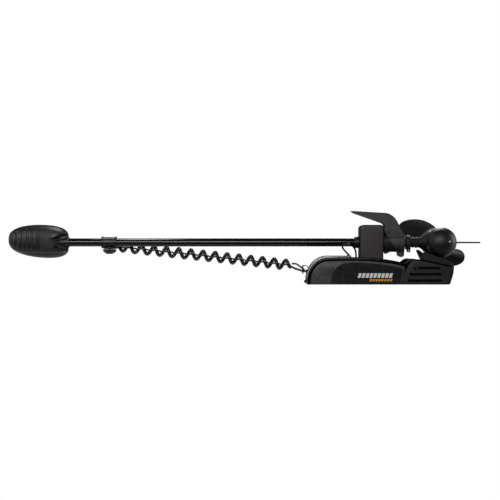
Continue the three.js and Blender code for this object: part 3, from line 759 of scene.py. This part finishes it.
def lever_spring():
    """A torsion spring around the lever's pin."""
    turns = 4.5
    radius = 4.6
    steps = int(turns * 24)
    path = []
    for i in range(steps + 1):
        angle = TAU * turns * i / steps
        across = LEVER_X + radius * math.cos(angle)
        path.append((across, 29.6 + 2.4 * i / steps, LEVER_Z + radius * math.sin(angle)))
    piece("lever_torsion_spring", tube(path, 0.45, 8), STEEL, "mount", "lever_spring", sharp=60)


def release_pedal():
    """The lever's broad foot end, with ribs for a shoe."""
    toe = span("release_lever")[0][0]
    pedal = block((toe, -28, 5.2), (toe + 16, 28, 12.8))
    ribs = [block((toe - 1, y - 0.9, 11.6), (toe + 13, y + 0.9, 14)) for y in range(-24, 25, 6)]
    arm = block((toe + 10, -22, 8), (LEVER_X, 22, 13))
    eye = rod_y(-26, 26, 6.2, LEVER_X, LEVER_Z, 40, 0.5)
    hook = [(-209, 12), (-209, 39), (-195.2, 37), (-195.2, 33), (-200, 30), (-200, 12)]
    pin_hole = rod_y(-40, 40, 3.3, LEVER_X, LEVER_Z, 32)
    piece("release_lever_foot", pedal, SATIN, "release_lever", "release_lever", bevel=0.8,
          joins=[arm, eye, prism(rounded(hook, [0, 2, 1.5, 0, 0, 0]), -12, 12)], cuts=[pin_hole, *ribs])


# ---------- swing channel's fairing and the steering unit ----------

TUBE_HOLE_R = 31.3
HORN_HALF = 36
HORN_SCREW_X = 28
HORN_SCREW_Z = 171.5
FAIRING_LOW = 18.0


def fairing_outline(inset, low=FAIRING_LOW):
    centre = (-168, 12)
    wide = 71 - inset
    tall = FAIRING_TOP - 12 - inset
    shoulder = arc(centre, (wide, tall), 175.4, 90, 20)
    return [(shoulder[0][0], low), *shoulder, (-92 - inset, FAIRING_TOP - inset), (-92 - inset, low)]


def swing_fairing():
    """The light shell around the swing channel, rounded along both of its sides."""
    half = FAIRING_HALF
    edge = quarter(3, half)
    far_edge = [(inset, -y) for inset, y in reversed(edge)]
    shell = stepped(fairing_outline, [*far_edge, *edge])
    hollow = prism(fairing_outline(COVER_SKIN, 10), COVER_SKIN - half, half - COVER_SKIN)
    mouth = block((-100, COVER_SKIN - half, 10), (-80, half - COVER_SKIN, 66.3))
    gland_hole = rod_x(-252, -212, 8.3, 32, 0, GLAND_Z)
    piece("swing_fairing_shell", shell, FAIRING, "swing", "swing_fairing",
          cuts=[hollow, mouth, gland_hole])


def paint_edge_shade(objects, limit):
    """Paints shade on the faces that turn away from the two flat sides: they get a near-black copy of the
    plastic.
    """
    for obj in objects:
        obj.data.materials.append(CASE_EDGE_SHADE)
        for face in obj.data.polygons:
            if abs(face.normal.y) < limit:
                face.material_index = 1


def case_outline(inset):
    x0, x1 = case_low[0] + inset, case_high[0] - inset
    z0, top = case_low[2] + inset, case_high[2] - inset
    left = bend((x0 + inset / 3, top - 14), (x0 + 1, top), (x0 + 14, top), 6)
    right = bend((x1 - 11, top), (x1, top), (x1, top - 11), 6)
    return [(x0, z0), *left, *right, (x1, z0)]


def steering_case():
    half = -case_low[1]
    shell = stepped(case_outline, [(0, 0.15), *quarter(6.5, half, steps=6)])
    hollow = prism(case_outline(3), COVER_SKIN - half, 1)
    rear_hole = rod_x(case_low[0] - 10, case_low[0] + 10, 15.6, 48)
    front_hole = rod_x(case_high[0] - 10, case_high[0] + 10, TUBE_HOLE_R, 64)
    halves = both_sides("steering_case_half", shell, CASE, "swing", "steering_case", sharp=26,
                        cuts=[hollow, rear_hole, front_hole])
    # Painted shade on the case halves' rounded edges, top and bottom.
    paint_edge_shade(halves, 0.72)
    corners = [(case_low[0] + 8, 178), (case_low[0] + 8, 78), (case_high[0] - 7, 78)]
    for number, (x, z) in enumerate(corners, 1):
        plug = rod_y(-half + 3.4, -half + 0.8, 2.6, x, z)
        both_sides(f"case_plug_{number}", plug, SATIN, "swing")


def horn_outline():
    tip = rounded([(-83, 231.5), (-92.5, 239), (24, 232)], [0, 2.5, 0], steps=3)
    back = bend((24, 232), (53, 225), (63, 192), 8)[1:]
    chin = bend((82, 98), (82, 88), (72, 88), 6)
    turns = [(63, 92), (59.5, 97), (61, 100.5), (48.5, 121), (24, 156), (16, 172), (15.5, 183)]
    inner = rounded([chin[-1], *turns], [0, 3, 1.5, 1, 14, 10, 6, 0])[1:]
    throat = bend((15.5, 183), (21, 193), (11, 199), 6)[1:]
    return [*tip, *back, (75, 168.5), (82, 161), *chin, *inner, *throat, (-14, 208)]


def stow_horn():
    """The hooked horn in two halves, its screw and the small claw under the tube."""
    tube_hole = rod_x(-120, 100, TUBE_HOLE_R, 72)
    front = [(-34.8, 60), (-34.8, 181), (-14.6, 247), (-12, 249.5), (10, 249.5), (10, 60)]
    round_part = arc((0, SHAFT_Z), HORN_HALF, 151, 206, 14)
    beside = prism_x([(-50, SHAFT_Z + 17.5), *round_part, (-15, 104), (-15, 70), (-50, 70)], -120, 120)
    halves = both_sides("horn_half", prism(horn_outline(), -HORN_HALF, -0.15), CASE, "swing", "horn",
                        bevel=1.6, keeps=[prism_x(front, -120, 100)], cuts=[tube_hole, beside])
    # Painted shade on the horn halves' faces that turn away from the flat sides, darkest toward the bottom.
    paint_edge_shade(halves, 0.4)
    head, recess = screw_shape(HORN_SCREW_X, -36.9, HORN_SCREW_Z, 3.0, 2.2)
    piece("horn_screw_head", head, DULL, "swing", "horn_screw", cuts=recess)
    washer = rod_y(-35.6, -34.4, 4.6, HORN_SCREW_X, HORN_SCREW_Z, 32, 0.3)
    piece("horn_screw_washer", washer, SATIN, "swing")
    claw = [(16.5, 112), (16.5, 104), (21.5, 97.5), (25, 100), (33, 102.5), (36, 112)]
    piece("tube_claw", prism(rounded(claw, [0, 1, 1.5, 3, 2, 0]), -9, 9), CASE, "swing", bevel=0.8,
          cuts=[rod_x(0, 60, 30.2, 72)])


def tube_and_bushes():
    """The output tube with the bushes at its two ends, and the clamp ring with its screw."""
    bore = SHAFT_R + 0.3
    upper = [(-79, bore), (-79, 17.5), (-77.8, 18.7), (-73.5, 18.7), (-73, 17.9), (-72.2, 17.9),
             (-71.7, 18.7), (-66, 18.7), (-66, 15.3), (-58, 15.3), (-58, bore)]
    piece("upper_bush_collar", turned_x(upper, 80, round_by=0.5), SATIN, "swing", "upper_bush")
    tube_inner = 27.5
    sleeve = [(4, tube_inner), (4, 35), (8.6, 35), (8.6, 31), (78.6, 31), (80, 29.8), (80, tube_inner)]
    rear_flange = turned_x(ring_profile(12.4, 15.2, 31.1, 33.2), 80, round_by=0.7)
    piece("output_sleeve", turned_x(sleeve, 96, round_by=0.7), TUBE, "swing", "output_tube")
    piece("output_sleeve_ring", rear_flange, TUBE, "swing")
    lower = [(60, bore), (60, tube_inner - 0.3), (80.5, tube_inner - 0.3), (80.5, 16), (103.6, 16),
             (104.4, 15.2), (106.6, 15.2), (107.4, 16), (109.5, 16), (109.5, bore)]
    piece("lower_bush_neck", turned_x(lower, 80, round_by=0.4), RING, "swing", "lower_bush")
    lug_outline = [(92, 120), (92, 105.5), (95, 104), (103.5, 104), (103.5, 120)]
    lug = prism(rounded(lug_outline, [0, 3, 2, 2, 0]), -6, 6)
    clamp_inner = 16.3
    band = turned_x([(88, clamp_inner), (88, 22.5), (89.5, 24), (102, 24), (103.5, 22.5),
                     (103.5, clamp_inner)], 80)
    gap_cut = block((86, -0.8, 100), (106, 0.8, 122))
    piece("clamp_band", band, RING, "swing", "clamp_ring", joins=[lug],
          cuts=[rod_x(80, 110, clamp_inner), gap_cut])
    head, recess = screw_shape(97.5, -10.3, 108.3, 3.4, 4.0)
    piece("clamp_screw_head", head, BRIGHT, "swing", "clamp_screw", cuts=recess)


# ---------- cords fixed to the swing ----------


def fixed_cords():
    """The cable loop on its foot, the coil's two tails with their tie, and the gland that takes them."""
    cable_route = [(-100, -12, 97.6), (-107, -15, 104), (-115, -19, 112.5), (-120, -22.5, 121),
                   (-113, -24, 130), (-98, -24, 130), (-86, -22, 123), (-78, -20, 111), (-75, -15, 92),
                   (-74, -12, 67)]
    piece("steering_cable_loop", tube(smooth_path(cable_route, 70), 2.8, 14), RUBBER, "swing",
          "steering_cable", sharp=60)
    foot_low = FAIRING_TOP + 0.3
    foot_high = FAIRING_TOP + 2
    foot = rounded([(-105, foot_low), (-105, foot_high - 0.6), (-103, foot_high), (-96, foot_high),
                    (-94, foot_high - 0.6), (-94, foot_low)], 0.4)
    boot = turned(2, (-100, -12, 0), [(94.4, 0), (94.4, 4.4), (96.2, 4.2), (99.5, 3.3), (99.5, 0)], 32)
    piece("cable_foot", prism(foot, -17, -7), SATIN, "swing", "cable_clip", joins=[boot], sharp=40)
    tails = (
        ("upper", "cord_tail", 2.9,
         [(-283, 19, 66.5), (-269, 15, 65.5), (-258, 10, 58.5), (-248, 5, 50), (-241, 3.5, 45.4)]),
        ("lower", "tail_wire", 3.4,
         [(-284, 19, 57), (-273, 17, 50.5), (-260, 9, 46.5), (-250, 0, 43), (-240.5, -4.2, 41)]),
    )
    for place, node, radius, route in tails:
        strand = tube(smooth_path(route, 40), radius, 12)
        piece(f"tail_strand_{place}", strand, RUBBER, "swing", node, sharp=60)
    band = turned_x(ring_profile(-250, -246, 10.9, 12.6), 48, 2.5, 46.5, 0.4)
    lock = block((-251, -1.5, 58.2), (-245, 5.5, 61.4))
    tongue = tube(smooth_path([(-246, 2, 60), (-239, 2, 60.5), (-233, 2, 57), (-228, 1, 51)], 14), 1.4, 8)
    piece("cable_tie_band", band, SATIN, "swing", "cable_tie", joins=[lock, tongue], sharp=40)
    profile = [(-239, 0), (-239, 5.0)]
    for i in range(3):
        start = -238.6 + 2.4 * i
        profile += [(start, 5.4 + 0.5 * i), (start + 1.4, 5.8 + 0.5 * i), (start + 1.6, 5.0 + 0.5 * i)]
    profile += [(-231.4, 7.9), (-229.5, 7.9), (-229.5, 0)]
    piece("cord_gland_boot", turned_x(profile, 40, 0, GLAND_Z, 0.2), SOFT_RUBBER, "swing", "cord_gland")


# ---------- depth collar ----------


def depth_collar():
    """The sleeve that clamps on the shaft, with the knob's boss and the clip that holds the cords."""
    x0, x1 = collar_low[0], collar_high[0]
    bore = SHAFT_R + 0.3
    profile = [(x0, bore), (x0, 19.2), (x0 + 0.8, 20), (x0 + 4.4, 20), (x0 + 6, 17.6), (x1 - 6, 17.6),
               (x1 - 4.4, 20), (x1 - 0.8, 20), (x1, 19.2), (x1, bore)]
    stem_hole = turned_z(rod_profile(100, 124, 4.3), KNOB_X, 0, 24, 0)
    split = block((x0 - 1, -0.7, 148), (x1 + 1, 0.7, 158))
    boss = turned_z(ring_profile(114.4, 121, 4.3, 17), KNOB_X, 0, 48, 0.5)
    piece("knob_boss", boss, SATIN, "depth_collar", cuts=[rod_x(x0, x1, 17.7)])
    piece("depth_collar_sleeve", turned_x(profile, 80, round_by=0.5), SATIN, "depth_collar",
          "depth_collar", cuts=[stem_hole, split])
    clip = [(17.9, 120), (17.9, 143), (24, 146), (38, 146), (44, 138), (44, 122), (38, 115), (24, 115)]
    clip = rounded(clip, [0, 2, 3, 5, 5, 5, 5, 3], loop=True)
    nose = prism_x(clip, -899.5, -863.5)
    tail_end = prism_x([(max(21.0, y), z) for y, z in clip], -902.3, -857.0)
    piece("cord_clip_body", nose, SATIN, "depth_collar", "cord_clip", bevel=1.2, joins=[tail_end])


def collar_knob():
    """A lobed knob with a domed face, on its threaded stem."""
    lobes = 6
    count = lobes * 12
    profile = ((114, 0.55), (114, 0.93), (113.2, 0.985), (112, 1.0), (108, 0.98), (103, 0.80), (100, 0.60),
               (98.4, 0.44), (98, 0.30), (98.6, 0.2))
    rings = []
    for z, share in profile:
        ring = []
        for i in range(count):
            angle = TAU * i / count
            radius = (20.5 + 1.6 * math.cos(lobes * angle) * min(1, share * 1.05)) * share
            ring.append((KNOB_X + radius * math.cos(angle), radius * math.sin(angle), z))
        rings.append(ring)
    stem = turned_z(rod_profile(112, 122, 4), KNOB_X, 0, 24, 0.3)
    piece("collar_knob_head", loft(rings), SATIN, "collar_knob", "collar_knob", joins=[stem], sharp=38)


# ---------- control head ----------

HEAD_TIP, HEAD_END = head_low[0], head_high[0]
HEAD_WIDE = -1094.5
HEAD_TALL = 54.0
HEAD_BROAD = 46.0
HEAD_RISE = 0.045
HEAD_JOINT = 104.0
HEAD_SQUARENESS = 2 / 2.4
GROOVE_DEPTH = 2.6
RIB_HALF_WIDTH = 3.4
LOUVRES = (-1199, -1189, -1172, -1155, -1140, -1125, -1110)


def head_share(x):
    """The head's half height at x, as a share of its greatest."""
    if x < HEAD_WIDE:
        return max(0.0, 1 - ((HEAD_WIDE - x) / (HEAD_WIDE - HEAD_TIP)) ** 2) ** (1 / 2.7)
    return max(0.0, 1 - ((x - HEAD_WIDE) / (HEAD_END - HEAD_WIDE)) ** 2.5) ** 0.25


def head_middle(x):
    return SHAFT_Z + HEAD_RISE * (HEAD_END - x)


def ease(value, low, high):
    """0 below low and 1 above high, with a smooth step between; low may be the larger."""
    t = min(1.0, max(0.0, (value - low) / (high - low)))
    return t * t * (3 - 2 * t)


def head_ring(x, count):
    """The head's outside at x: ribs with grooves between them, and the recess where the shaft enters."""
    share = head_share(x)
    middle = head_middle(x)
    ring = []
    for i in range(count):
        angle = TAU * i / count
        flat = abs(math.cos(angle)) ** HEAD_SQUARENESS
        up = math.copysign(abs(math.sin(angle)) ** HEAD_SQUARENESS, math.sin(angle))
        y = HEAD_BROAD * share * flat
        z = middle + HEAD_TALL * share * up
        vent = ease(x, -1206, -1202) * ease(x, -1101, -1105) * ease(abs(z - middle), 31, 27)
        ridge = max(math.exp(-(((x - place) / RIB_HALF_WIDTH) ** 2)) for place in LOUVRES)
        y -= GROOVE_DEPTH * vent * (1 - ridge)
        opening = 9 + 13 * ease(x, -1062, -1026)
        scoop = ease(x, -1070, -1046) * ease(abs(z - SHAFT_Z), opening + 7, opening)
        y *= 1 - 0.66 * scoop
        ring.append((x, math.copysign(max(0.0, y), math.cos(angle)), z))
    return ring


def head_places(step):
    """Where the head's rings are: closer together toward its two rounded ends."""
    end_part = 9
    end_steps = 14
    places = [HEAD_TIP, HEAD_END]
    for i in range(1, end_steps):
        inward = end_part * (i / end_steps) ** 2
        places += [HEAD_TIP + inward, HEAD_END - inward]
    places += list(np.arange(HEAD_TIP + end_part, HEAD_END - end_part + 0.1, step))
    return sorted(places)


def head_inner():
    """The space inside the head's shells."""
    skin = 3.6
    rings = []
    for x in np.linspace(HEAD_TIP + 8, HEAD_END - 8, 24):
        share = head_share(x)
        ring = []
        for i in range(32):
            angle = TAU * i / 32
            y = (HEAD_BROAD * share - 2 - skin) * math.cos(angle) * (1 - 0.62 * ease(x, -1078, -1052))
            z = head_middle(x) + (HEAD_TALL * share - skin) * math.sin(angle)
            ring.append((x, y, z))
        rings.append(ring)
    return loft(rings)


def control_head():
    outer = loft([head_ring(x, 144) for x in head_places(1.25)])
    hollow = head_inner()
    below = block((HEAD_TIP - 9, -60, 40), (HEAD_END + 9, 60, HEAD_JOINT))
    above = block((HEAD_TIP - 9, -60, HEAD_JOINT - 0.2), (HEAD_END + 9, 60, 220))
    shaft_hole = rod_x(-1070, -1000, SHAFT_R + 0.3, 48)
    slots = []
    for x, z, lean in ((-1144, 178.5, -0.5), (-1140, 116.5, 0.5)):
        cos, sin = math.cos(lean), math.sin(lean)
        straight = stadium(-7.5, 7.5, 0, 2.8)
        outline = [(x + dx * cos - dz * sin, z + dx * sin + dz * cos) for dx, dz in straight]
        slots += [prism(outline, -60, -26), prism(outline, 26, 60)]
    upper = piece("head_upper_cover", outer, HEAD, "column", "head_upper_shell", sharp=28,
                  cuts=[hollow, below, shaft_hole, slots[0], slots[1]])
    # The lower shell takes the lighter copy: painted reflection along the underside.
    lower = piece("head_lower_cover", outer, HEAD_LOW_LIT, "column", "head_lower_shell", sharp=28,
                  cuts=[hollow, above, slots[2], slots[3]])
    # The plain field between the ribs and the shaft's recess has a finish of its own.
    for shell in (upper, lower):
        shell.data.materials.append(HEAD_PANEL)
        for face in shell.data.polygons:
            x, y, z = (c / MM for c in face.center)
            across = abs(z - head_middle(x)) / (HEAD_TALL * max(0.1, head_share(x)))
            if -1101 < x < -1064 and across < 0.62 and abs(y) > 20:
                face.material_index = 1
    neck = [(-1040, SHAFT_R + 0.2), (-1040, 17.5), (-1018, 17.5), (-1017, 16.4), (-1011.5, 16.4),
            (-1011.5, SHAFT_R + 0.2)]
    piece("head_socket", turned_x(neck, 64, round_by=0.6), SATIN, "column")
    connector = [(-1062, 0), (-1062, 3.6), (-1040, 3.6), (-1040, 2.6), (-1034, 2.6), (-1034, 0)]
    for side, y in (("starboard", -17.5), ("port", 17.5)):
        for number, up in enumerate((9, -3), 1):
            piece(f"{side}_head_connector_{number}", turned_x(connector, 24, y, SHAFT_Z + up, 0.5), RING,
                  "column")


def head_lead():
    gland = [(-1026, 0), (-1026, 7.9), (-1020, 7.9), (-1018, 6.6), (-1009, 5.4), (-1009, 0)]
    piece("head_gland_boot", turned_x(gland, 40, 22.5, SHAFT_Z, 0.5), SOFT_RUBBER, "column", "head_gland")
    route = [(-1008.7, 23, 136), (-960, 25.5, 136), (-902.6, 28, 136)]
    lead = piece("head_lead_cable", tube(smooth_path(route, 40), 4.5, 16), RUBBER, None, "head_lead",
                 sharp=60)
    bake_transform(lead)


# ---------- column's lower end and the motor ----------

MOTOR_WALL = 3.5
BOLT_CIRCLE_R = 36
PROP_Y = 190.0


def column_end():
    """The shaft, the stepped rings at its lower end and the flare that meets the motor."""
    shaft = ring_profile(shaft_low[0], shaft_high[0], 10.5, SHAFT_R)
    piece("shaft_composite", turned_x(shaft, 128, round_by=0.4), SHAFT, "column", "shaft_tube")
    bore = SHAFT_R + 0.15
    rings = [(110.5, bore), (110.5, 17.5), (113.6, 17.5), (114.4, 16), (116.2, 16), (116.6, 15.4),
             (117.6, 15.4), (118, 16), (119.4, 16), (120.2, 18), (124.6, 18), (125.6, 16.5), (129, 16.5),
             (129, bore)]
    piece("neck_rings", turned_x(rings, 80, round_by=0.4), RING, "column", "neck_ring")
    flare = [(129.3, SHAFT_R + 0.3), (129.3, 16), (134, 18), (142, 23), (152, 30), (163, 37.5), (172, 41),
             (172, SHAFT_R + 0.3)]
    gap_drum = rod_y(-80, 80, MOTOR_R + 0.25, MOTOR_X, SHAFT_Z, 120)
    piece("motor_neck_flare", turned_x(flare, 96, round_by=5), PAINT, "column", "motor_neck",
          cuts=[gap_drum])


def nose_cone():
    """The motor's round nose, with an off-centre screw in its well and a small plug near its tip."""
    start = HOUSING_Y0 - 0.3
    depth = start - NOSE_TIP
    wall_depth = depth - MOTOR_WALL
    outer = [(start - depth * math.cos(a), MOTOR_R * math.sin(a)) for a in np.linspace(0, math.pi / 2, 40)]
    inner = [(start - wall_depth * math.cos(a), (MOTOR_R - MOTOR_WALL) * math.sin(a))
             for a in np.linspace(math.pi / 2, 0, 24)]
    outer[0] = (outer[0][0], 0)
    inner[-1] = (inner[-1][0], 0)
    reach = 21.3
    screw_x, screw_z = MOTOR_X + reach, SHAFT_Z + 2.1
    screw_y = HOUSING_Y0 - depth * math.sqrt(1 - (reach / MOTOR_R) ** 2)
    plug_x, plug_z = MOTOR_X + 6.6, SHAFT_Z + 4.2
    well_floor = screw_y + 2.6
    well = turned_y([(-100, 0), (-100, 8.6), (well_floor, 7.4), (well_floor, 0)], screw_x, screw_z, 48, 0)
    dimple = rod_y(-100, NOSE_TIP + 2.6, 6.2, plug_x, plug_z, 48)
    piece("nose_cone", turned_y(outer + inner, MOTOR_X, SHAFT_Z, 128, 0), PAINT, "column", "nose_cap",
          cuts=[well, dimple], sharp=40)
    head, recess = screw_shape(screw_x, screw_y - 0.6, screw_z, 4.3, 3.6)
    piece("nose_screw", head, BRIGHT, "column", cuts=recess)
    washer = turned_y(ring_profile(screw_y - 0.2, screw_y + 2.4, 4.5, 8.2), screw_x, screw_z, 48, 0.4)
    piece("nose_screw_washer", washer, SATIN, "column")
    plug = [(NOSE_TIP + 1.2, 0), (NOSE_TIP + 1.4, 4.4), (NOSE_TIP + 2.2, 5.8), (NOSE_TIP + 3.2, 5.8),
            (NOSE_TIP + 3.2, 0)]
    piece("nose_plug", turned_y(plug, plug_x, plug_z, 40, 0.4), RING, "column")


def motor_body():
    """The motor's tube and its rear cap with two through bolts."""
    inner = MOTOR_R - MOTOR_WALL
    body = ring_profile(HOUSING_Y0, HOUSING_Y1, inner, MOTOR_R)
    piece("motor_tube", turned_y(body, MOTOR_X, SHAFT_Z, 128, 0.5), PAINT, "column", "motor_housing")
    start = HOUSING_Y1 + 0.3
    cap = [(start, inner), (start, MOTOR_R), (start + 12, 46.5), (start + 28, 39), (160, 29), (160, 9),
           (152, 9), (152, 24), (start + 22, 34)]
    piece("motor_rear_cap", turned_y(cap, MOTOR_X, SHAFT_Z, 128, 3), PAINT, "column", "rear_cap")
    for number in range(2):
        angle = math.radians(40 + 180 * number)
        bolt = rod_y(150, 157.5, 3, MOTOR_X + BOLT_CIRCLE_R * math.cos(angle),
                     SHAFT_Z + BOLT_CIRCLE_R * math.sin(angle), 6, 0.4)
        piece(f"through_bolt_{number + 1}", bolt, STEEL, "column")


def skeg():
    """A thin fin with a sharpened outer edge."""
    end = span("skeg")[1][0]
    root = MOTOR_X + MOTOR_R + 0.3
    edge = bend((end - 4, 30), (end + 4.5, 55), (end - 6, 82), 12)
    outline = [(root, -18), *edge, (root, 100)]
    rings = []
    for inset, up in ((2.0, -2.4), (0, -0.9), (0, 0.9), (2.0, 2.4)):
        rings.append([(min(x, end) - inset * (x > root), y, SHAFT_Z + up) for x, y in outline])
    piece("skeg_fin", loft(rings), PAINT, "column", "skeg", sharp=40)


def blade(turn):
    """A swept blade: lens-shaped across, cupped, with a bead along its edge."""
    long_steps, sides = 40, 40
    root, tip = 20.0, 126.8
    rings = []
    for i in range(long_steps + 1):
        along = math.sin(math.pi / 2 * i / long_steps)
        radius = root + (tip - root) * along
        widening = 0.5 + 0.5 * min(1, along / 0.3)
        chord = 38 * widening * math.sqrt(1 - min(along, 0.9999) ** 5)
        middle = math.radians(152 - 60 * (1 - along) ** 1.6) + turn
        thick = (4.6 - 2.6 * along) / 2 * min(1, 3 * math.sqrt(1 - along**4))
        ring = []
        for k in range(sides):
            phase = TAU * k / sides
            across = math.cos(phase)
            face = math.copysign(abs(math.sin(phase)) ** 0.7, math.sin(phase))
            bead = math.exp(-(((abs(across) - 0.86) / 0.07) ** 2)) * (along > 0.2)
            wider = 5 * math.sin(math.pi * along) * max(0, across)
            angle = middle + (across * chord + wider) / radius
            rise = across * chord * (0.55 - 0.275 * along) + 5 * (1 - across**2) * math.sin(math.pi * along)
            y = PROP_Y + rise - 2.5 + face * (thick + bead)
            ring.append((MOTOR_X + radius * math.cos(angle), y, SHAFT_Z + radius * math.sin(angle)))
        rings.append(ring)
    return loft(rings)


def propeller():
    """Two blades on a hub, and the nut that holds it."""
    hub = [(167, 6.5), (167, 22.8), (168.2, 24), (185, 24), (197, 19), (202, 12), (202, 6.5)]
    piece("propeller_moulding", turned_y(hub, MOTOR_X, SHAFT_Z, 96, 1.5), PROP, "rotor", "propeller",
          joins=[blade(0), blade(math.pi)], sharp=40,
          cuts=[rod_y(150, 215, 6.3, MOTOR_X, SHAFT_Z, 48)])
    nut = turned_y(ring_profile(202.4, 211, 6.3, 10), MOTOR_X, SHAFT_Z, 6, 0)
    piece("propeller_nut", nut, STEEL, "rotor", "prop_nut", bevel=0.7)


# ---------- CAD nodes that stay ----------

KEPT_SURFACES = {
    ALUMINIUM: ("base_plate",),
    COATED: ("starboard_side_plate", "port_side_plate", "swing_channel"),
    STEEL: ("pivot_pin", "lever_pin", "latch_bar", "steering_motor", "drive_pinion", "rotor_shaft"),
    BRONZE: ("starboard_pivot_bush", "port_pivot_bush", "output_gear"),
    BOARD: ("circuit_board",),
    MAGNET: ("upper_magnet", "lower_magnet"),
    COPPER: ("armature",),
    SOFT_RUBBER: ("shaft_seal",),
}


def dress_kept_nodes():
    """Gives the CAD solids that stay in view their surfaces and softened edges."""
    for surface, names in KEPT_SURFACES.items():
        for name in names:
            obj = nodes[name]
            for holder in obj.material_slots:
                holder.material = surface
            if not obj.material_slots:
                obj.data.materials.append(surface)
            weld = obj.modifiers.new("weld", "WELD")
            weld.merge_threshold = 0.00001
            smooth_edges(obj, 0.5)


mount_covers()
mount_ramps()
lever_spring()
release_pedal()
swing_fairing()
steering_case()
stow_horn()
tube_and_bushes()
fixed_cords()
depth_collar()
collar_knob()
control_head()
head_lead()
column_end()
nose_cone()
motor_body()
skeg()
propeller()
dress_kept_nodes()
